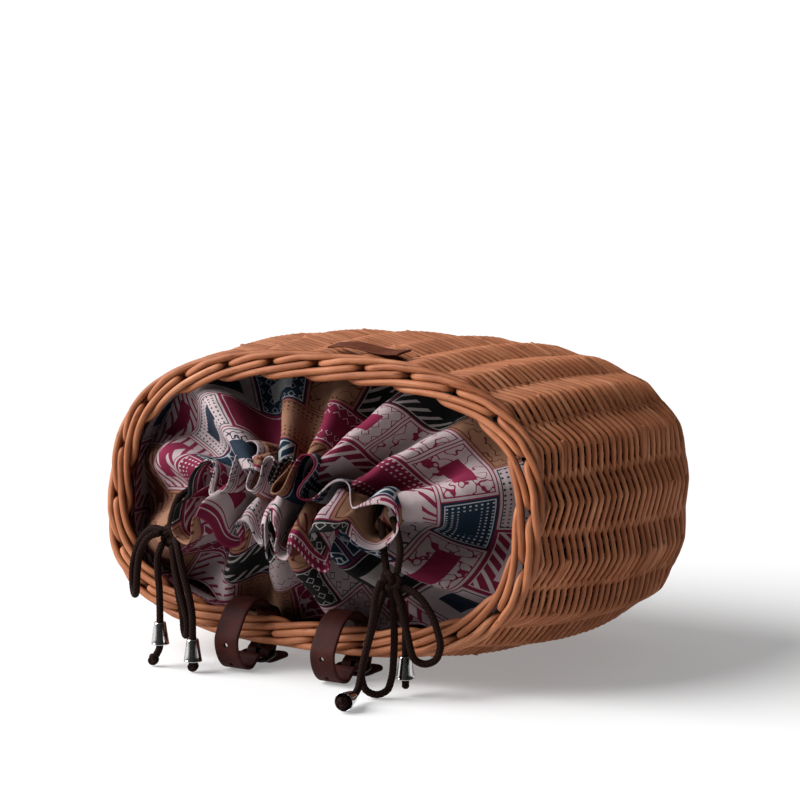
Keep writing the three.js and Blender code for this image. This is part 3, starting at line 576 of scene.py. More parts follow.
# %% Willow material: peeled and stained willow rods, streaked along the fibre, with a dull wax
FIBRE_WIDTH = 0.9
FIBRE_LENGTH = 30
FIBRE_SCALE = (1 / FIBRE_WIDTH, 1 / FIBRE_WIDTH, 1 / FIBRE_LENGTH)
STAIN_SCALE = 38.0  # clouds of 26 mm
SCAR_SCALE = (0.35, 0.35, 0.045)  # one scar to 3 mm of the girth and 22 mm of the length
SCAR_REACH = (0.09, 0.15)
GRAIN_SHARE, STAIN_SHARE = 0.75, 0.5
TONE_RANGE = (0.53, 1.43)
WILLOW_ROUGHNESS = (0.48, 0.72)
WILLOW_STAIN = [(0.0, "#1a0602"), (0.25, "#522310"), (0.5, "#864a29"), (0.75, "#a66643"),
                (1.0, "#c38c68")]
willow, shader = new_material("stained_willow", IOR=1.5, Specular_IOR_Level=0.28)
fibre = add_node(willow, "Attribute", attribute_name="fibre", out=1)
# The tone mark is each rod's own tone, drawn by chance. On the side weave it is lessened by painted
# shade in the recesses, and on the stakes and border by painted shade on their undersides.
tone = add_node(willow, "Attribute", attribute_name="tone", out=2)
cut = add_node(willow, "Attribute", attribute_name="cut", out=2)
streaks = add_node(willow, "VectorMath", {0: fibre, 1: FIBRE_SCALE}, operation="MULTIPLY")
grain = add_node(willow, "TexNoise",
                 {"Vector": streaks, "Scale": 1.0, "Detail": 4.0, "Roughness": 0.6})
place = add_node(willow, "TexCoord", out=3)
stain = add_node(willow, "TexNoise", {"Vector": place, "Scale": STAIN_SCALE, "Detail": 3.0})
rod_tone = add_node(willow, "Math", {0: grain, 1: GRAIN_SHARE, 2: tone}, operation="MULTIPLY_ADD")
all_tone = add_node(willow, "Math", {0: stain, 1: STAIN_SHARE, 2: rod_tone},
                    operation="MULTIPLY_ADD")
taken = add_node(willow, "MapRange", {"Value": all_tone, 1: TONE_RANGE[0], 2: TONE_RANGE[1]})
brown = add_node(willow, "ValToRGB", {"Fac": taken}, stops=WILLOW_STAIN)
spots = add_node(willow, "VectorMath", {0: fibre, 1: SCAR_SCALE}, operation="MULTIPLY")
scar = add_node(willow, "TexVoronoi", {"Vector": spots, "Scale": 1.0})
scar_mask = add_node(willow, "MapRange",
                     {"Value": scar, 1: SCAR_REACH[0], 2: SCAR_REACH[1], 3: 0.75, 4: 0.0})
scarred = add_node(willow, "Mix", {0: scar_mask, 6: brown, 7: linear("#3a1a0b")},
                   data_type="RGBA", out=2)
wood = add_node(willow, "Mix", {0: cut, 6: scarred, 7: linear("#d8b28a")}, data_type="RGBA", out=2)
rough = add_node(willow, "MapRange",
                 {"Value": grain, 3: WILLOW_ROUGHNESS[0], 4: WILLOW_ROUGHNESS[1]})
bump = add_node(willow, "Bump", {"Strength": 0.35, "Distance": 0.0003, "Height": grain})
feed(willow, shader, {"Base Color": wood, "Roughness": rough, "Normal": bump})

# %% [markdown]
# ## Side weave
# The wall is French randing: a rod starts at every stake, and all of them go round together, in
# front of one stake and behind the next, a row deeper at each. So every stroke slants a little. A
# rod is stiff, so it runs nearly straight from stake to stake and bends sharply over each one. The
# rows are beaten down hard under the border and lie looser towards the heel, which has level rows.

# %% Side weave sizes
WALL_ROWS = 48
HEEL_ROWS = 10
ROW_GROWTH = 1.0094
STAKE_STATIONS = np.array([0, 0.05, 0.13, 0.28, 0.5, 0.72, 0.87, 0.95])
WEAVER_SIDES = 8
WEAVER_RADIUS = 2.12
WEAVER_PROUD = 1.0
TIP_THINNER, BUTT_THICKER = 0.92, 1.08
WALL_SWING = 6.5
HEEL_SWING = 1.9
BEND_SHARPNESS = 0.997
SLOT_DEPTH = 28
SLOT_OPENING = 2.4
STRAP_STAKES = {"left": -1.5, "right": 0.5}
RECESS_START = 7.5
RECESS_DEPTH = 5
RECESS_SHADE = 0.85
HEEL_START, HEEL_EASE = 0.8, 0.35
SLOT_STAKES, SLOT_ROWS = 0.3, 7
DEPTH_WANDER, GIRTH_WANDER, GIRTH_SPREAD = 0.3, 0.06, 0.08
WALL_TONE, HEEL_TONE, TONE_SPREAD = 0.53, 0.47, 0.04
DEEPER = np.array([0, 1.0, 0])


# %% Side weave shape
def eased(value):
    """0 to 1 with level ends: 3 v v - 2 v v v."""
    value = np.clip(value, 0, 1)
    return value * value * (3 - 2 * value)


def weave_swing(part):
    """Half the way that a rod moves in and out: as far as rod and stake need on the wall, and less
    at the heel, where the stakes are shaved thin."""
    return WALL_SWING + (HEEL_SWING - WALL_SWING) * eased((part - HEEL_START) / HEEL_EASE)


def weave_wave(row, stake):
    """1 in front of a stake and -1 behind it, turn about, with straight runs between: the arcsine
    of a cosine just under 1, which is a triangle wave with rounded corners."""
    wave = BEND_SHARPNESS * np.cos(math.pi * (stake + row))
    return np.arcsin(wave) / math.asin(BEND_SHARPNESS)


def slow_wander(rows, stake, size):
    """Two slow sine waves, 3 and 7 to a round, with chance phases for each row: no hand-laid row
    is quite straight."""
    phase = chance.uniform(0, TURN, (2, rows, 1))
    turn = stake / STAKES * TURN
    return size * (np.sin(3 * turn + phase[0]) + 0.7 * np.sin(7 * turn + phase[1]))


def row_place(row, part, stake):
    """How far a rod's middle lies behind the outer face, and its depth and inset: its crests stand
    a little proud of the face, and the rows part round the strap slots."""
    swing = weave_swing(part)
    crest = WEAVER_RADIUS - WEAVER_PROUD * swing / WALL_SWING
    behind = crest + swing * (1 - weave_wave(row, stake))
    depth, inset = meridian(behind, part)
    for slot in STRAP_STAKES.values():
        apart = (stake - slot + STAKES / 2) % STAKES - STAKES / 2
        below = depth - SLOT_DEPTH
        gap = np.exp(-(apart / SLOT_STAKES) ** 4) * np.exp(-np.abs(below) / SLOT_ROWS)
        depth = depth + SLOT_OPENING * np.sign(below) * gap
    return behind, depth, inset


def recess_painted_shade(tones, points, paths, behind, outward):
    """Painted shade in the weave's recesses: a rod's tone less a share that grows with how far a
    point lies behind the outer face."""
    height = np.sum((points - paths[:, :, None]) * outward[:, :, None], -1)
    recess = np.clip((behind[..., None] - height - RECESS_START) / RECESS_DEPTH, 0, 1)
    return tones[..., None] - RECESS_SHADE * recess


def rest_on_floor(points):
    """Points in the row frame, with the rods that bear the basket's weight pressed level with the
    floor."""
    points = to_floor(points)
    points[..., 2] = np.maximum(points[..., 2], 0)
    return points


# %% Side weave rods
GRAIN_STEPS = {"side_weave_wall": 977, "side_weave_heel": 977, "side_weave_tips": 389,
               "stakes_and_border": 1531, "base_weave": 613, "base_sticks": 431}


def add_rods(name, slot, points, fibre, tones, closed=False, nodes=(), cut=0.0):
    """Willow rods in one mesh. Each rod's fibre mark starts a step further on than that of the rod
    before, so no two show the same grain."""
    fibre[..., 2] += GRAIN_STEPS[name] * np.arange(len(points))[:, None, None]
    tones = np.broadcast_to(tones, points.shape[:3])
    cut = np.broadcast_to(cut, points.shape[:3])
    add_piece(name, points, (closed, True), willow, slot, nodes=nodes, fibre=fibre, tone=tones,
              cut=cut)


def add_weave(name, row, part, stake, tones, closed, nodes=()):
    """Round rods in one mesh, along the paths that rows, parts and stakes give."""
    rods = len(part)
    behind, depth, inset = row_place(row, part, stake)
    angle = stake_angle(stake)
    outside = wall_point(angle, *meridian(behind - 1, part))
    outward = unit(outside - wall_point(angle, *meridian(behind, part)))
    depth = depth + slow_wander(rods, stake, DEPTH_WANDER)
    paths = wall_point(angle, depth, inset)
    radii = WEAVER_RADIUS * np.interp(part, [0, 1], [TIP_THINNER, BUTT_THICKER])
    radii = radii + chance.normal(0, GIRTH_SPREAD, (rods, 1))
    radii = radii + slow_wander(rods, stake, GIRTH_WANDER)
    if not closed:
        radii[:, [0, -1]] = 0
    points, fibre = rod_points(paths, radii[..., None], WEAVER_SIDES, closed, DEEPER)
    # Painted shade: the parts of each rod that lie deep behind the outer face are darkened.
    tones = recess_painted_shade(tones, points, paths, behind, outward)
    add_rods(name, "willow", rest_on_floor(points), fibre, tones, closed, nodes)


def wall_part(row):
    """Each row is a little wider than the one above, so the part of the wall down to it is a
    geometric sum, from 0 at the first row to 1 after the last."""
    return (ROW_GROWTH ** (row + 0.5) - 1) / (ROW_GROWTH ** WALL_ROWS - 1)


JOIN_ROWS = (12, 36)

rod = np.arange(STAKES)[:, None]
row = (np.arange(-1, WALL_ROWS)[:, None] + STAKE_STATIONS).ravel()
rod_stake = rod - row
joins = chance.uniform(*JOIN_ROWS, (STAKES, 1))
tones = np.where(row < joins, *chance.normal(WALL_TONE, TONE_SPREAD, (2, STAKES, 1)))
parts = np.broadcast_to(wall_part(row), rod_stake.shape)
add_weave("side_weave_wall", rod, parts, rod_stake, tones, False, ["side_weave"])

round_stakes = (np.arange(STAKES)[:, None] + STAKE_STATIONS).ravel()
heel_row = np.arange(HEEL_ROWS)[:, None]
heel_stake = np.broadcast_to(round_stakes, (HEEL_ROWS, len(round_stakes)))
heel_part = np.broadcast_to(1 + (heel_row + 0.5) / HEEL_ROWS, heel_stake.shape)
tones = chance.normal(HEEL_TONE, TONE_SPREAD, (HEEL_ROWS, 1))
tones = np.broadcast_to(tones, heel_stake.shape)
add_weave("side_weave_heel", heel_row, heel_part, heel_stake, tones, True)

# %% [markdown]
# Where a rod runs out, its tip is left in front of a stake and the next rod goes on beside it. The
# tips stand a little proud, and they are what tells a hand-woven wall from a moulded one. Each is
# a short rod that lies on its row and goes straight on past the stake, where the row bends.

# %% Rod tips
TIPS = 44
TIP_STEPS = 10
TIP_RADIUS = 2.25
TIP_START, TIP_PAST = -0.45, 0.06
TIP_TONE, TIP_SPREAD = 0.5, 0.05
TIP_CUT = 0.2

tip_row = chance.integers(2, WALL_ROWS - 1, TIPS)
tip_part = wall_part(tip_row)[:, None]
tip_stake = 2 * chance.integers(0, STAKES // 2, TIPS) + tip_row % 2
reach = np.linspace(TIP_START, TIP_PAST, TIP_STEPS)
crest = WEAVER_RADIUS - WEAVER_PROUD
depth, inset = meridian(crest - 2 * reach * weave_swing(tip_part), tip_part)
paths = wall_point(stake_angle(tip_stake[:, None] + reach), depth, inset)
paths, radii = with_ends(paths, np.full((TIPS, TIP_STEPS), TIP_RADIUS))
points, fibre = rod_points(paths, radii[..., None], WEAVER_SIDES)
tones = chance.normal(TIP_TONE, TIP_SPREAD, (TIPS, 1, 1))
cut = np.zeros(points.shape[:3])
cut[:, -2:] = TIP_CUT
add_rods("side_weave_tips", "willow", rest_on_floor(points), fibre, tones, cut=cut)

# %% [markdown]
# ## Stakes and plaited border
# The stakes are thicker rods that stand in the weave. Above it each one is bent sharply to the
# left, lies on top past two stakes and moves to the inside, dips under to the outside of the next
# two and is tucked down before the fifth. So one rod makes an upright and a stroke of the border,
# and 24 of them make the whole plaited rim, with four strands side by side at any place.

# %% Stakes and border
BORDER_WIDTH = 22.4
BORDER_STROKE = [(0, 7.7, 11), (0.01, 7.6, 5), (0.03, 7.6, 2.2), (0.1, 7.8, 1.2),
                 (0.3, 9.0, 0.6), (0.6, 11.0, 0.4), (1, 13.2, 0.6), (1.4, 15.6, 1.2),
                 (1.7, 17.4, 2.4), (1.95, 18.4, 4.8), (2.15, 17.0, 7.6), (2.3, 13.4, 8.6),
                 (2.45, 8.6, 8.8), (2.6, 4.2, 8.6), (2.75, 1.9, 8.2), (3, 1.3, 7.8),
                 (3.2, 1.3, 7.2), (3.4, 1.3, 6.2), (3.6, 1.1, 4.4), (3.8, 1.2, 2.6),
                 (4, 1.8, 1.4), (4.2, 2.3, 1.3), (4.4, 3.8, 1.4), (4.6, 5.6, 1.9),
                 (4.75, 6.9, 4), (4.83, 7.3, 7), (4.86, 7.5, 10.5)]
STAKE_PARTS = np.array([2, 1.75, 1.5, 1.25, 1, 0.8, 0.6, 0.4, 0.2, 0.09])
STAKE_TUCK = 18
STAKE_RADIUS = 3.0
STAKE_HEEL_RADIUS = 1.5
BORDER_ROD_RADIUS = 2.9
BORDER_REACH, BORDER_EASE = 260, 40
BORDER_SHADE, BORDER_LIT = 0.34, 0.65
SHAVED, SHAVED_EASE = 60, 110
STAKE_TONE, STAKE_SPREAD = 0.5, 0.05
STAKE_GIRTH_SPREAD = 0.035
STAKE_STEPS = 230
STAKE_SIDES = 12


def stake_path(stake):
    """Up from the base round the heel and inside the wall, then along the border's stroke, whose
    rows are (stakes passed, inset, depth)."""
    swing = weave_swing(STAKE_PARTS)
    crest = WEAVER_RADIUS - WEAVER_PROUD * swing / WALL_SWING
    wall = wall_point(stake_angle(stake), *meridian(crest + swing, STAKE_PARTS))
    heel_depth = DEPTH - WEAVER_RADIUS - HEEL_SWING
    heel = [wall_point(stake_angle(stake), heel_depth, HEEL_ROUND + STAKE_TUCK)]
    passed, inset, depth = np.transpose(BORDER_STROKE)
    stroke = wall_point(stake_angle(stake + passed), depth, inset)
    return smooth_path(np.concatenate([heel, wall, stroke]), STAKE_STEPS)


stake_paths = np.stack([stake_path(stake) for stake in range(STAKES)])
walked = run_length(stake_paths)
border_share = np.clip((walked - walked[:, -1:] + BORDER_REACH) / BORDER_EASE, 0, 1)
thickness = 1 + chance.normal(0, STAKE_GIRTH_SPREAD, (STAKES, 1))
full = eased((walked - SHAVED) / SHAVED_EASE)
shaved = STAKE_HEEL_RADIUS + (STAKE_RADIUS - STAKE_HEEL_RADIUS) * full
stake_radii = (shaved + (BORDER_ROD_RADIUS - STAKE_RADIUS) * border_share) * thickness
stake_paths, stake_radii = with_ends(stake_paths, stake_radii)
points, fibre = rod_points(stake_paths, stake_radii[..., None], STAKE_SIDES)
# Painted shade: the side of each stake and border strand that faces away from the mouth is
# darkened, fully on its underside and partly on its flanks where the strands meet.
height = (stake_paths[..., None, 1] - points[..., 1]) / STAKE_RADIUS
underside = np.clip(BORDER_LIT - height, 0, 1)
tones = chance.normal(STAKE_TONE, STAKE_SPREAD, (STAKES, 1, 1)) - BORDER_SHADE * underside
add_rods("stakes_and_border", "willow_stake", to_floor(points), fibre, tones,
         nodes=[f"stake_{i + 1:02d}" for i in range(STAKES)])

# %% [markdown]
# ## Base
# The base is an oval mat: base sticks lie across it, and rods are woven round them from the
# middle outwards. Rings at growing insets, with the same wave as the wall, make it.

# %% Woven base
RING_PITCH = 4.9
RINGS = 15
BASE_MIDDLE = 4.6
BASE_SWING = 2.2
BASE_EDGE = HEEL_ROUND + 2
RING_RADIUS = 2.25
RING_TONE, RING_SPREAD = 0.36, 0.08
STICK_RADIUS = 2.1
STICK_TONE, STICK_SPREAD = 0.38, 0.07
STICK_STEPS = 24
LONG_STICKS = np.array([-7.5, -2.5, 2.5, 7.5])
LONG_REACH = 112

ring = np.arange(RINGS)[:, None]
paths = wall_point(stake_angle(round_stakes), DEPTH, BASE_EDGE + RING_PITCH * ring)
paths[..., 1] = DEPTH - BASE_MIDDLE + BASE_SWING * weave_wave(ring, round_stakes)
points, fibre = rod_points(paths, np.full((RINGS, 1, 1), RING_RADIUS), WEAVER_SIDES, True, DEEPER)
tones = chance.normal(RING_TONE, RING_SPREAD, (RINGS, 1, 1))
add_rods("base_weave", "willow_base", to_floor(points), fibre, tones, True, ["woven_base"])

reach = np.linspace(BASE_EDGE - 1, BASE_EDGE + RING_PITCH * RINGS, STICK_STEPS)
paths = wall_point(stake_angle(rod), DEPTH, reach)
paths[..., 1] = DEPTH - BASE_MIDDLE
rows = np.linspace(-LONG_REACH, LONG_REACH, STICK_STEPS)
long_heights = LONG_STICKS[:, None] + HEEL_RISE
sticks = np.stack(np.broadcast_arrays(rows, DEPTH - BASE_MIDDLE, long_heights), -1)
paths = np.concatenate([paths, sticks])
paths, radii = with_ends(paths, np.full(paths.shape[:2], STICK_RADIUS))
points, fibre = rod_points(paths, radii[..., None], WEAVER_SIDES)
tones = chance.normal(STICK_TONE, STICK_SPREAD, (len(paths), 1, 1))
add_rods("base_sticks", "willow_base", to_floor(points), fibre, tones)

# %% [markdown]
# ## Printed cotton
# The liner is a printed cotton of panels in off-white, tan, wine red, navy and black. The panels
# here have plain motifs of their own: frames, plaques, dots, hatching, diamonds and vines. A brick
# texture in the cloth's own millimetres gives the panels, a chance value for each and the lines
# round them, so the print gathers with the folds.

# %% Cotton material: plain-woven printed cotton, matt, with threads drawn at 0.9 mm to show
PANEL = (64.0, 44.0)
PANEL_SHIFT = 0.37
LINE_WIDTH = 0.5
FRAME_LINE = (2.4, 3.3)
PLAQUE_MARGIN = 13.5
PLAQUE_SHARE = 0.5
THREAD = 0.9
BLACK, WHITE = linear("#000000"), linear("#ffffff")
cotton, shader = new_material("printed_cotton", Roughness=0.9, IOR=1.45, Specular_IOR_Level=0.2)
cloth = add_node(cotton, "Attribute", attribute_name="cloth", out=1)
bricks = {"Vector": cloth, "Color1": BLACK, "Color2": WHITE, "Mortar": BLACK, "Scale": 1.0,
          "Bias": 0.0, "Mortar Smooth": 0.0, "Brick Width": PANEL[0], "Row Height": PANEL[1]}
panel = add_node(cotton, "TexBrick", {**bricks, "Mortar Size": LINE_WIDTH}, offset=PANEL_SHIFT)
panel_line = panel.node.outputs[1]
edges = [add_node(cotton, "TexBrick", {**bricks, "Mortar Size": size}, offset=PANEL_SHIFT, out=1)
         for size in (*FRAME_LINE, PLAQUE_MARGIN)]
PRINT_GROUNDS = [(0.0, "#9f9092"), (0.3, "#641530"), (0.47, "#7d5a46"), (0.6, "#9f9092"),
                 (0.74, "#0f2131"), (0.89, "#111112")]
PRINT_INKS = [(0.0, "#6c1836"), (0.3, "#a39395"), (0.47, "#4c1f1c"), (0.6, "#1c2633"),
              (0.74, "#98999c"), (0.89, "#8c8482")]
ground = add_node(cotton, "ValToRGB", {"Fac": panel}, stops=PRINT_GROUNDS)
ink = add_node(cotton, "ValToRGB", {"Fac": panel}, stops=PRINT_INKS)
for ramp in (ground.node, ink.node):
    ramp.color_ramp.interpolation = "CONSTANT"

# %% Print motifs in the field of each panel
DOT_SPACING = 4.4
HATCH_SPACING = 5.5
DIAMOND = 9.5
VINE = 11.0
DOT_SIZE, BAND_LEVEL = 0.22, 0.7
DIAMOND_LINE, VINE_LINE = (0.34, 0.045), (0.5, 0.022)
MOTIF_SHARES = (0.72, 0.52, 0.36, 0.14)
dot = add_node(cotton, "TexVoronoi", {"Vector": cloth, "Scale": 1 / DOT_SPACING, "Randomness": 0.0})
dots = add_node(cotton, "Math", {0: dot, 1: DOT_SIZE}, operation="LESS_THAN")
band = add_node(cotton, "TexWave", {"Vector": cloth, "Scale": TURN / 20 / HATCH_SPACING},
                bands_direction="DIAGONAL", out=1)
hatching = add_node(cotton, "Math", {0: band, 1: BAND_LEVEL}, operation="GREATER_THAN")
point = add_node(cotton, "TexVoronoi", {"Vector": cloth, "Scale": 1 / DIAMOND, "Randomness": 0.0},
                 distance="MANHATTAN")
diamonds = add_node(cotton, "Math", {0: point, 1: DIAMOND_LINE[0], 2: DIAMOND_LINE[1]},
                    operation="COMPARE")
curl = add_node(cotton, "TexNoise", {"Vector": cloth, "Scale": 1 / VINE, "Detail": 1.0})
vines = add_node(cotton, "Math", {0: curl, 1: VINE_LINE[0], 2: VINE_LINE[1]}, operation="COMPARE")
pick = add_node(cotton, "TexWhiteNoise", {"W": panel}, noise_dimensions="1D")
motif = 0.0
for share, other in zip(MOTIF_SHARES, (diamonds, dots, vines, hatching)):
    chosen = add_node(cotton, "Math", {0: pick, 1: share}, operation="LESS_THAN")
    motif = add_node(cotton, "Mix", {0: chosen, 2: motif, 3: other})

# %% Frames, plaques and the two colours of each panel
OTHER_DRAW = 5.3
in_field = add_node(cotton, "Math", {0: edges[2], 1: edges[1]}, operation="SUBTRACT")
field_motif = add_node(cotton, "Math", {0: motif, 1: in_field}, operation="MULTIPLY")
frame_line = add_node(cotton, "Math", {0: edges[1], 1: edges[0]}, operation="SUBTRACT")
middle = add_node(cotton, "Math", {0: 1.0, 1: edges[2]}, operation="SUBTRACT")
other_pick = add_node(cotton, "Math", {0: panel, 1: OTHER_DRAW}, operation="ADD")
draw = add_node(cotton, "TexWhiteNoise", {"W": other_pick}, noise_dimensions="1D")
has_plaque = add_node(cotton, "Math", {0: draw, 1: PLAQUE_SHARE}, operation="LESS_THAN")
plaque = add_node(cotton, "Math", {0: middle, 1: has_plaque}, operation="MULTIPLY")
drawn = field_motif
for layer in (frame_line, plaque, panel_line):
    drawn = add_node(cotton, "Math", {0: drawn, 1: layer}, operation="MAXIMUM")
printed = add_node(cotton, "Mix", {0: drawn, 6: ground, 7: ink}, data_type="RGBA", out=2)

# %% Threads and creases of the cloth
CREASE_SCALE = 0.09  # creases of 11 mm
THREAD_SHARE = 0.06
threads = add_node(cotton, "TexVoronoi", {"Vector": cloth, "Scale": 1 / THREAD, "Randomness": 0.0})
rumple = add_node(cotton, "TexNoise", {"Vector": cloth, "Scale": CREASE_SCALE, "Detail": 4.0})
height = add_node(cotton, "Math", {0: threads, 1: THREAD_SHARE, 2: rumple},
                  operation="MULTIPLY_ADD")
bump = add_node(cotton, "Bump", {"Strength": 0.5, "Distance": 0.003, "Height": height})
feed(cotton, shader, {"Base Color": printed, "Normal": bump})
print("cotton nodes", len(cotton.node_tree.nodes))

# %% [markdown]
# ## The liner
# The bag lines the wall and the base. At a seam inside the rim it goes on as a collar, which the
# drawcord gathers, and the cloth past the cord stands out as a ruffled header.

# %% Liner bag
LINER_OFFSET = 17.2
LINER_TOP_DEPTH = 19
LINER_SEAM_DEPTH = 46
BAG_COLUMNS = 180
WALL_PARTS, HEEL_PARTS, FLOOR_PARTS = 27, 9, 12
BAG_MIDDLE = 96
SAG = 1.6
SAG_START, SAG_EASE = 60, 80

angle = np.linspace(-math.pi / 2, 1.5 * math.pi, BAG_COLUMNS + 1)
top_part = (LINER_TOP_DEPTH - SIDING_TOP) / (DEPTH - HEEL_ROUND - SIDING_TOP)
parts = np.r_[np.linspace(top_part, 1, WALL_PARTS), np.linspace(1.1, 2, HEEL_PARTS)]
depth, inset = meridian(LINER_OFFSET, parts)
floor_inset = np.linspace(HEEL_ROUND, BAG_MIDDLE, FLOOR_PARTS)[1:]
depth = np.r_[depth, np.full(len(floor_inset), depth[-1])][:, None]
inset = np.r_[inset, floor_inset][:, None]
sag = SAG * np.sin(11 * angle + 0.03 * depth) * np.clip((depth - SAG_START) / SAG_EASE, 0, 1)
rings = wall_point(angle, depth, np.minimum(inset + np.abs(sag), BAG_MIDDLE))
middle = rings[-1:] * [0.2, 1, 0.2]
rings = np.concatenate([rings, middle, 0 * middle + middle.mean(1, keepdims=True)])
bag_down = run_length(np.swapaxes(rings, 0, 1)).T
across = np.broadcast_to(np.interp(angle, around, mouth_run), rings.shape[:2])
cloth_mark = np.stack([across, bag_down, 0 * bag_down], -1)
bag = add_piece("liner_bag_cloth", to_floor(rings), SHEET, cotton, "cotton", nodes=["liner_bag"],
                closed=False, cloth=cloth_mark)

# %% [markdown]
# Cloth keeps its length when it is gathered: where the ring that it is drawn to gets shorter, the
# cloth has to swing in and out. Such a fold follows a sine-generated curve, in which the direction
# of the cloth, not its place, swings as a sine. The mean of the cosine of that direction is the
# share of the length that is left, so each ring's swing follows from its own length. The folds
# come out as the round loops that gathered cotton makes. At the narrow ends of the oval there is
# little room inside, so what swings inwards there is pressed flatter.

# %% Collar sizes
CLOTH_ROUND = 1060
CLOTH_FOLDS = 13
COLLAR_COLUMNS = 52 * CLOTH_FOLDS
COLLAR_ROWS = 44
HEADER_ROWS = 22
GATHER_CENTRE = -9
THROAT = (82, 9)
HEADER_EDGE = (84, 31)
RISE = [(0, 0), (0.12, 8), (0.3, 21), (0.55, 38), (0.8, 52), (1, 60), (1.3, 73), (1.65, 86),
        (2, 94)]
SEAM_LAP = 0.3
EDGE_WAVES = ((0.3, 2, 2.2), (0.25, 5, 0.5))
FOLD_DEPTHS = ((0.16, 2, 1.3), (0.12, 5, 0.4))
FOLD_PLACES = ((0.9, 2, 0.6), (0.8, 5, 2))
RUFFLE_WAVES = ((9, 3, 0.7), (6, 7, 2.1))
RUFFLE_DROOP = 7
PUCKER, PUCKER_WIDTH, PUCKERS = 1.3, 0.12, 5
CRUMPLE = 1.8
HEM = 1.1
HEM_STEPS = np.array([0.8, 1.6, 5, 9])
FOLD_CRISPNESS = 1.1
CREASE_DEPTH = 2.2
INNER_ROOM = 13
NARROW_ENDS, NARROW_LEVEL, NARROW_EASE = 0.65, 0.75, 0.25
TABLE_STEPS, RING_STEPS = 300, 721
MOST_BEND, BEND_STEPS, WAVE_STEPS = 2.3, 200, 400


# %% Collar shape
def along_table(table, at):
    """Cubic curve through a short table of (place, value)."""
    fine = smooth_path([(*pair, 0.0) for pair in table], TABLE_STEPS)
    return np.interp(at, fine[:, 0], fine[:, 1])


def waves(angle, terms):
    """Sum of size times sine of (count times the angle + phase), for terms (size, count, phase)."""
    return sum(size * np.sin(count * angle + phase) for size, count, phase in terms)


def mean_ring(angle, level):
    """The cloth's middle surface: from the seam on the wall at level 0 to the gathered throat at 1
    and the header's edge at 2. Both are flat ovals, because the two cords pull apart."""
    seam = wall_point(angle, LINER_SEAM_DEPTH - SEAM_LAP, LINER_OFFSET + SEAM_LAP)
    open_part = np.clip(level - 1, 0, 1)[..., None]
    uneven = 1 + waves(angle, EDGE_WAVES)
    half = np.array(THROAT) + (np.array(HEADER_EDGE) - THROAT) * open_part * uneven[..., None]
    oval = np.stack([GATHER_CENTRE + half[..., 0] * np.cos(angle), seam[..., 1],
                     half[..., 1] * np.sin(angle)], -1)
    ring = seam + (oval - seam) * np.clip(level, 0, 1)[..., None]
    ring[..., 1] -= along_table(RISE, level)
    return ring


def crease_lines(x, z):
    """Sharp folds where a bent sine passes through nought: minus the size of the sine, twice, at
    two slants. The numbers that x and z are divided by are lengths in millimetres."""
    first = np.abs(np.sin(x / 17 + z / 31 + 1.3 * np.sin(z / 23)))
    second = np.abs(np.sin(z / 15 - x / 37 + 1.1 * np.sin(x / 29 + 1)))
    return CREASE_DEPTH * (1.2 - first - second)


def fold_wave(phase):
    """A sine pressed towards a square wave, so that folds have flat sides and crisp bends."""
    return np.tanh(FOLD_CRISPNESS * np.sin(phase)) / math.tanh(FOLD_CRISPNESS)


bends = np.linspace(0, MOST_BEND, BEND_STEPS)
one_wave = fold_wave(np.linspace(0, TURN, WAVE_STEPS, endpoint=False))
kept = np.cos(bends[:, None] * one_wave).mean(1)


def gathered(level, turns):
    """Places of the cloth's points on a ring: the angle they reach and how far they swing to the
    side. Both are sums along the cloth, of the cosine and of the sine of its direction."""
    even = np.linspace(0, TURN, RING_STEPS) - math.pi / 2
    length = run_length(mean_ring(even, np.full_like(even, level))[None])[0]
    bend = np.interp(-min(length[-1] / CLOTH_ROUND, 1), -kept, bends)
    phase = CLOTH_FOLDS * turns + waves(turns, FOLD_PLACES)
    direction = bend * (1 + waves(turns, FOLD_DEPTHS)) * fold_wave(phase + 0.5 * level)
    step = CLOTH_ROUND / len(turns)
    ahead = np.cumsum(np.cos(direction)) * step
    aside = np.cumsum(np.sin(direction)) * step
    aside = aside - np.linspace(0, aside[-1], len(aside))
    at = ahead / ahead[-1] * length[-1]
    return np.interp(at, length, even), aside - aside.mean()


# %% Collar and ruffled header
turns = np.arange(COLLAR_COLUMNS) / COLLAR_COLUMNS * TURN
levels = np.r_[np.linspace(0, 1, COLLAR_ROWS), np.linspace(1, 2, HEADER_ROWS)[1:]]
places = [gathered(level, turns) for level in levels]
angle = np.stack([place[0] for place in places])
aside = np.stack([place[1] for place in places])
level = np.broadcast_to(levels[:, None], angle.shape)
STEP = 1e-3
across = mean_ring(angle + STEP, level) - mean_ring(angle - STEP, level)
ahead = mean_ring(angle, level + STEP) - mean_ring(angle, level - STEP)
normals = unit(np.cross(across, ahead))
rings = mean_ring(angle, level)
outward = np.sign(normals[..., 0] * np.cos(angle) + normals[..., 2] * np.sin(angle))
inward = np.minimum(aside * outward, 0)
narrow = np.clip((np.abs(np.cos(angle)) - NARROW_ENDS) / NARROW_EASE, 0, 1)
narrow = narrow * np.clip((level - NARROW_LEVEL) / NARROW_EASE, 0, 1)
aside = aside + narrow * outward * (INNER_ROOM * np.tanh(inward / INNER_ROOM) - inward)
rings = rings + normals * aside[..., None]
flare = np.clip(level - 1, 0, 1)
rings[..., 1] += flare * waves(angle, RUFFLE_WAVES)
rings[..., 2] -= RUFFLE_DROOP * flare ** 2
by_cord = np.exp(-((level - 1) / PUCKER_WIDTH) ** 2)
pucker = by_cord * PUCKER * np.sin(PUCKERS * CLOTH_FOLDS * turns)
crumple = CRUMPLE * np.sin(rings[..., 0] / 9 + rings[..., 2] / 13) * np.sin(rings[..., 2] / 8 + 1)
crumple = crumple + crease_lines(rings[..., 0], rings[..., 2])
rings = rings + normals * (pucker + crumple * np.clip(level * 2, 0, 1))[..., None]
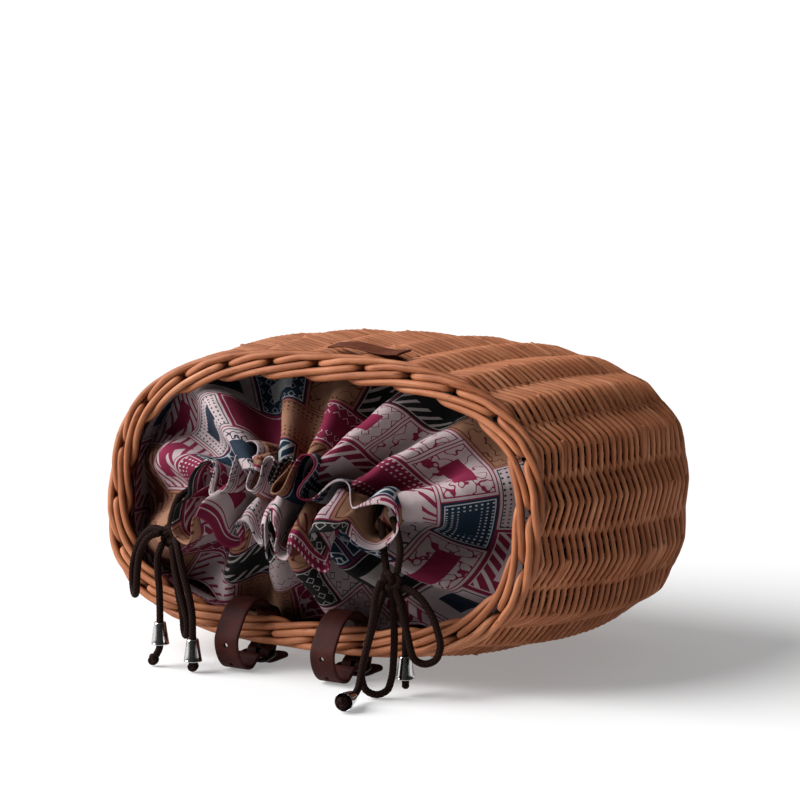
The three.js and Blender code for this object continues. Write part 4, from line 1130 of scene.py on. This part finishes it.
down = run_length(np.swapaxes(rings, 0, 1)).mean(0)
lip = unit(rings[-1] - rings[-2])
skin = unit(np.cross(np.roll(rings, -1, 1) - np.roll(rings, 1, 1), np.gradient(rings, axis=0)))
fold = [rings[-1] + HEM / 2 * (lip + skin[-1])]
hem = [rings[-back] + HEM * skin[-back] for back in (1, 3, 5)]
rings = np.concatenate([rings, np.stack(fold + hem)])
down = np.r_[down, down[-1] + HEM_STEPS]
cloth_mark = np.stack(np.broadcast_arrays(turns / TURN * CLOTH_ROUND, -down[:, None], 0.0), -1)
ruffle = add_piece("liner_collar_cloth", to_floor(rings), TUBE, cotton, "cotton",
                   nodes=["liner_collar", "liner_header"], closed=False, cloth=cloth_mark)
print("collar cut", CLOTH_ROUND, "by", round(float(down[-1])), "mm")

# %% [markdown]
# ## Strap leather
# The straps are cut from smooth vegetable-tanned leather, dyed dark reddish brown, with rounded
# and burnished edges. Each is a flat section carried along the solid's own line: folded round the
# buckle's rear bar, up through the wall, over the border, down to the floor and through the buckle.
# Slots and holes are then cut out of it, as a punch would.

# %% Leather materials: smooth dyed strap leather, and a softer brown for the patch
GRAIN_SIZE = 0.8
DYE_SCALE = 90.0  # clouds of 11 mm


def leather_material(name, hexes, roughness):
    """Leather: cells of grain as bump, cloudy dye in the colour and a soft waxed shine."""
    material, shader = new_material(name, IOR=1.45, Specular_IOR_Level=0.1)
    place = add_node(material, "TexCoord", out=3)
    pores = add_node(material, "TexVoronoi", {"Vector": place, "Scale": 1 / (GRAIN_SIZE * MM)})
    cloud = add_node(material, "TexNoise", {"Vector": place, "Scale": DYE_SCALE, "Detail": 5.0})
    tint = add_node(material, "ValToRGB", {"Fac": cloud}, stops=list(zip((0.25, 0.5, 0.8), hexes)))
    rough = add_node(material, "MapRange",
                     {"Value": cloud, 3: roughness - 0.08, 4: roughness + 0.1})
    bump = add_node(material, "Bump", {"Strength": 0.25, "Distance": 0.0002, "Height": pores})
    feed(material, shader, {"Base Color": tint, "Roughness": rough, "Normal": bump})
    return material


strap_leather = leather_material("dyed_strap_leather", ("#250d0a", "#321411", "#401d18"), 0.6)
patch_leather = leather_material("brown_patch_leather", ("#4c2213", "#5c2e1b", "#6e3c26"), 0.55)

# %% Strap line and section
STRAP_WIDTH = 22
STRAP_THICKNESS = 2.6
BUCKLE_LENGTH = 17.2
BUCKLE_WIRE = 1.7
BAR_HEIGHT = 7.9
BAR_PLAY = 0.5
HALF = STRAP_THICKNESS / 2


def band_line(slot, rim, bar, front):
    """The strap's line in the upright plane, as (y, z), from the folded end to the tail."""
    turn = BUCKLE_WIRE + HALF + BAR_PLAY
    top = rim[2] + BORDER_WIDTH + 9
    y, z = bar
    return [(y + 3, z + 7.6), (y + 1.2, z + 5.2), (y - 2.2, z + 3), (y - turn, z),
            (y - turn * 0.72, z - turn * 0.72), (y, z - turn), (y + turn * 0.72, z - turn * 0.72),
            (y + turn, z), (y + 4.9, z + 4), (slot[1] - 1.2, slot[2] - 1),
            (slot[1] + 0.8, slot[2] + 5), (slot[1] + 4, slot[2] + 14), (slot[1] + 3, slot[2] + 23),
            (rim[1] + 19, top - 7), (rim[1] + 5, top), (rim[1] - 11, top - 4),
            (rim[1] - 23, top - 18), (rim[1] - 27.5, rim[2] + 5), (rim[1] - 25, rim[2] - 9),
            (rim[1] - 16, HALF + 2.5), (rim[1] - 7, HALF + 1.2), (front - 4.5, HALF + 5.3),
            (front, HALF + 8.4), (front + 4.5, HALF + 6.6), (front + 9, HALF + 3.6),
            (y - 3, HALF + 0.7), (y + 2, HALF + 0.2), (y + 14, HALF + 0.2), (y + 30, HALF + 0.2)]


def flat_section(width, thickness, divisions, corner):
    """Round a flat strip: along the top, over a rounded edge, back along the underside and up
    over the other edge. Rows are (across, through)."""
    flat = np.linspace(-1, 1, divisions) * (width / 2 - corner)
    turn = np.linspace(0, math.pi, 7)[1:-1]
    edge = np.stack([np.sin(turn) * corner, np.cos(turn) * thickness / 2], -1)
    top = np.stack([flat, np.full(divisions, thickness / 2)], -1)
    right = edge + [width / 2 - corner, 0]
    left = edge * [-1, -1] - [width / 2 - corner, 0]
    return np.concatenate([top, right, top[::-1] * [1, -1], left])


def band_points(path, across, normals, section, narrowing):
    """centre + across times the section's width + normal times its thickness, closed at both
    ends by a last row drawn in to the middle."""
    wide = section[None, :, :1] * narrowing[:, None, None]
    points = path[:, None] + wide * across[:, None] + section[None, :, 1:] * normals[:, None]
    first = np.broadcast_to(points[:1].mean(1, keepdims=True), points[:1].shape)
    last = np.broadcast_to(points[-1:].mean(1, keepdims=True), points[-1:].shape)
    return np.concatenate([first, points, last])


# %% Slots and holes in leather
SLOT_WIDTH = 4.4


def cut_away(piece, points, cells):
    """Takes a closed cutter shape out of a piece: a Boolean modifier, applied to its mesh."""
    mesh = new_mesh("cutter", points, cells)
    weld(mesh, True)
    cutter = add_object("cutter", mesh)
    modifier = piece.modifiers.new("cut", "BOOLEAN")
    modifier.object = cutter
    shaped = piece.evaluated_get(bpy.context.evaluated_depsgraph_get())
    piece.data = bpy.data.meshes.new_from_object(shaped)
    piece.modifiers.clear()
    bpy.data.objects.remove(cutter)


def slot_block(centre, size, lean):
    """A block for the prong's slot: as wide as the prong and its play, with the other two sides
    given, turned about the width by its lean."""
    corner = np.array([(0, 0, 0), (0, 1, 0), (0, 1, 1), (0, 0, 1)]) - [0, 0.5, 0.5]
    ring = pitched(corner * [1, *size], lean)
    ends = np.array([[-1.0, 0, 0], [1.0, 0, 0]])[:, None] * SLOT_WIDTH / 2
    cells = np.array([(0, 1, 2, 3), (7, 6, 5, 4), (0, 4, 5, 1), (1, 5, 6, 2), (2, 6, 7, 3),
                      (3, 7, 4, 0)])
    return np.array(centre) + ring + ends, cells


# %% Strap bands, with slots for the prong (place from the rear bar, size) and round holes
FOLD_SLOTS = [((0, -2.75, -0.75), (7.5, 9.5)), ((0, 3, -2.15), (5, 6.7))]
CROSSING, CROSSING_SLOT = (0, 8.2, HALF + 4.1), (8.5, 6)
CROSSING_LEAN = math.atan2(-3, 4.5)
HOLE_RADIUS = 1.8
HOLE_REACH = 4
HOLE_SPOTS = (0.587, 0.665)
HOLE_SIDES = 18
STRAP_STEPS = 260
STRAP_DIVISIONS, STRAP_EDGE = 14, 1.1
TAIL_ROUND, TAIL_END = 11, 0.02
BAR_INSET, BAR_FORWARD = 4.5, 7.5
hole_profile = [(0, -HOLE_REACH), (HOLE_RADIUS, -HOLE_REACH), (HOLE_RADIUS, HOLE_REACH),
                (0, HOLE_REACH)]
strap_section = flat_section(STRAP_WIDTH, STRAP_THICKNESS, STRAP_DIVISIONS, STRAP_EDGE)
strap_places = {}
for side, stake in STRAP_STAKES.items():
    slot = to_floor(wall_point(stake_angle(stake), SLOT_DEPTH, 0))
    rim = to_floor(wall_point(stake_angle(stake), 0, 0))
    middle_x = to_floor(wall_point(stake_angle(stake), SLOT_DEPTH, BAR_INSET))[0]
    bar = (slot[1] - BAR_FORWARD, BAR_HEIGHT)
    front = bar[0] - BUCKLE_LENGTH
    pairs = band_line(slot, rim, bar, front)
    line = smooth_path([(middle_x, *pair) for pair in pairs], STRAP_STEPS)
    along = unit(np.gradient(line, axis=0))
    across = np.broadcast_to([1.0, 0, 0], line.shape)
    normals = np.cross(across, along)
    walked = run_length(line[None])[0]
    tail = np.clip((walked[-1] - walked) / TAIL_ROUND + TAIL_END, 0, 1)
    narrowing = np.sqrt(1 - (1 - tail) ** 2)
    points = band_points(line, across, normals, strap_section, narrowing)
    band = add_piece(f"{side}_strap_band", points, TUBE, strap_leather, "strap_leather",
                     nodes=[f"{side}_strap"])
    for place, size in FOLD_SLOTS:
        cut_away(band, *slot_block(np.add((middle_x, *bar), place), size, 0))
    crossing = np.add((middle_x, front, 0), CROSSING)
    cut_away(band, *slot_block(crossing, CROSSING_SLOT, CROSSING_LEAN))
    for spot in HOLE_SPOTS:
        at = int(spot * len(line))
        hole = spun(hole_profile, line[at], normals[at], HOLE_SIDES)
        cut_away(band, hole, grid_cells(len(hole_profile), HOLE_SIDES, *TUBE))
    strap_places[side] = (middle_x, *bar)

# %% [markdown]
# ## Buckles
# Plain single-bar roller-less buckles of blackened steel wire. The frame is a wire bent into a
# rounded rectangle. It turns on its rear bar in the strap's fold, so it rides on its own body. The
# prong and the rivet keep their imported shapes and take the same steel.

# %% Blackened steel: dark oxide over steel, satin, with lighter worn spots
WEAR_SCALE = 320.0  # spots of 3 mm
STEEL_OXIDE = [(0.35, "#1b1a1b"), (0.6, "#2c2b2c"), (0.85, "#5a5856")]
black_steel, shader = new_material("blackened_steel", Metallic=1.0)
place = add_node(black_steel, "TexCoord", out=3)
wear = add_node(black_steel, "TexNoise", {"Vector": place, "Scale": WEAR_SCALE, "Detail": 4.0})
tint = add_node(black_steel, "ValToRGB", {"Fac": wear}, stops=STEEL_OXIDE)
rough = add_node(black_steel, "MapRange", {"Value": wear, 3: 0.25, 4: 0.5})
feed(black_steel, shader, {"Base Color": tint, "Roughness": rough})

# %% Buckle frames
BUCKLE_WIDTH = 31
BUCKLE_CORNER = 4
BUCKLE_TILT = math.radians(8)
WIRE_SIDES = 14
CORNER_STEPS = 9

quarter = np.repeat(np.arange(4), CORNER_STEPS)
turn = (quarter + np.tile(np.linspace(0, 1, CORNER_STEPS), 4)) * math.pi / 2
half_width = BUCKLE_WIDTH / 2 - BUCKLE_WIRE - BUCKLE_CORNER
near, far = -BUCKLE_CORNER, BUCKLE_CORNER - BUCKLE_LENGTH
corner_x = np.array([1, -1, -1, 1])[quarter] * half_width
corner_y = np.array([near, near, far, far])[quarter]
flat = np.stack([corner_x + BUCKLE_CORNER * np.cos(turn), corner_y + BUCKLE_CORNER * np.sin(turn),
                 0 * turn], -1)
square = pitched(np.array([0, 0, 1.0]), BUCKLE_TILT)
for side, bar_middle in strap_places.items():
    wire = (pitched(flat, BUCKLE_TILT) + bar_middle)[None]
    radii = np.full((1, len(flat), 1), BUCKLE_WIRE)
    points, _ = rod_points(wire, radii, WIRE_SIDES, True, square)
    add_piece(f"{side}_buckle_wire", points, RING, black_steel, "dark_metal", f"{side}_buckle",
              [f"{side}_buckle_frame"])
    for kept in ("buckle_prong", "rivet"):
        node = frame["nodes"][f"{side}_{kept}"]
        node.data.materials.clear()
        node.data.materials.append(black_steel)

# %% [markdown]
# ## Patch
# A blank leather patch is sewn to the front wall, near the rim. It has dried in waves, so it lifts
# off the weave between its fastened ends.

# %% Leather patch
PATCH = (63, 19, 1.6)
PATCH_CENTRE = 22
PATCH_DEPTH = 27
PATCH_WAVE = 1.6
PATCH_GAP = 0.3
PATCH_STEPS = 60
PATCH_DIVISIONS, PATCH_EDGE = 12, 0.6


def front_angle(x, depth):
    """The angle at which the front wall has this x: the squared cosine solved for the angle."""
    half = swell(0, depth / DEPTH) / 2
    return np.arccos(np.sign(x) * np.abs(x / half) ** (FRONT_SQUARE / 2))


part = np.linspace(0, 1, PATCH_STEPS)
x = PATCH_CENTRE + (part - 0.5) * PATCH[0]
lift = PATCH_GAP + PATCH[2] / 2 + PATCH_WAVE * (1 + np.sin(part * TURN))
line = wall_point(front_angle(x, PATCH_DEPTH), PATCH_DEPTH, -lift)
deeper = wall_point(front_angle(x, PATCH_DEPTH + 1), PATCH_DEPTH + 1, -lift)
across = unit(deeper - line)
normals = unit(np.cross(across, np.gradient(line, axis=0)))
section = flat_section(PATCH[1], PATCH[2], PATCH_DIVISIONS, PATCH_EDGE)
points = band_points(line, across, normals, section, np.ones(PATCH_STEPS))
add_piece("leather_patch_blank", to_floor(points), TUBE, patch_leather, "patch_leather",
          nodes=["leather_patch"])

# %% [markdown]
# ## Studio
# A pale floor, a large soft light from the upper left and a weak sky, as in a small product
# studio. The sky is brighter on the left, and pale along the horizon like a backdrop, apart from
# the dark room behind the camera. The bells mirror both, as bright stripes on a dark cone. The
# floor glows faintly, so that its shadows stay light.

# %% Floor and lights
FLOOR_REACH = 60
SUN_STRENGTH = 5.9
SUN_SOFTNESS = math.radians(50)
SUN_PLACE = np.array([-0.72, -0.45, 0.62])
SKY_STRENGTH = 0.22
FLOOR_GLOW = 0.28
SKY_SIDES = (1.7, 0.15)
HORIZON_GLOW = 1.1
HORIZON_HEIGHT = 0.14
DARK_SIDE = (0.45, -0.89, 0)
DARK_REACH = (0.2, 0.8)
DARK_SKY = 0.3

floor_paint, shader = new_material("matt_floor_paint", Roughness=0.9, Emission_Strength=FLOOR_GLOW)
feed(floor_paint, shader, {"Base Color": linear("#c8c8c8"), "Emission Color": WHITE})
corners = np.array([(-1, -1, 0), (1, -1, 0), (1, 1, 0), (-1, 1, 0)]) * FLOOR_REACH
floor_mesh = bpy.data.meshes.new("floor")
floor_mesh.from_pydata(corners.tolist(), [], [(0, 1, 2, 3)])
floor_mesh.materials.append(floor_paint)
floor = add_object("floor", floor_mesh)

sun_data = bpy.data.lights.new("soft_key", "SUN")
sun_data.energy = SUN_STRENGTH
sun_data.angle = SUN_SOFTNESS
sun = add_object("soft_key", sun_data)
flat_reach = math.hypot(SUN_PLACE[0], SUN_PLACE[1])
sun.rotation_euler = (math.atan2(flat_reach, SUN_PLACE[2]), 0,
                      math.atan2(SUN_PLACE[1], SUN_PLACE[0]) + math.pi / 2)

# %% Sky
world = bpy.data.worlds.new("studio")
world.use_nodes = True
towards = add_node(world, "TexCoord", out=0)
side = add_node(world, "SeparateXYZ", {0: towards}, out=0)
height = side.node.outputs[2]
share = add_node(world, "MapRange",
                 {"Value": side, 1: -1.0, 2: 1.0, 3: SKY_SIDES[0], 4: SKY_SIDES[1]})
facing = add_node(world, "VectorMath", {0: towards, 1: DARK_SIDE}, out=1, operation="DOT_PRODUCT")
away = {"Value": facing, 1: DARK_REACH[0], 2: DARK_REACH[1], 3: 1.0}
lit = add_node(world, "MapRange", {**away, 4: 0.0})
open_sky = add_node(world, "MapRange", {**away, 4: DARK_SKY})
rim = add_node(world, "MapRange",
               {"Value": height, 1: 0.0, 2: HORIZON_HEIGHT, 3: HORIZON_GLOW, 4: 0.0})
rim = add_node(world, "Math", {0: rim, 1: lit}, operation="MULTIPLY")
share = add_node(world, "Math", {0: share, 1: open_sky}, operation="MULTIPLY")
glow = add_node(world, "Math", {0: share, 1: SKY_STRENGTH, 2: rim}, operation="MULTIPLY_ADD")
feed(world, world.node_tree.nodes["Background"], {"Color": WHITE, "Strength": glow})
bpy.context.scene.view_settings.view_transform = "Standard"
bpy.context.scene.world = world
print("floor", FLOOR_REACH, "m, sun from", SUN_PLACE)
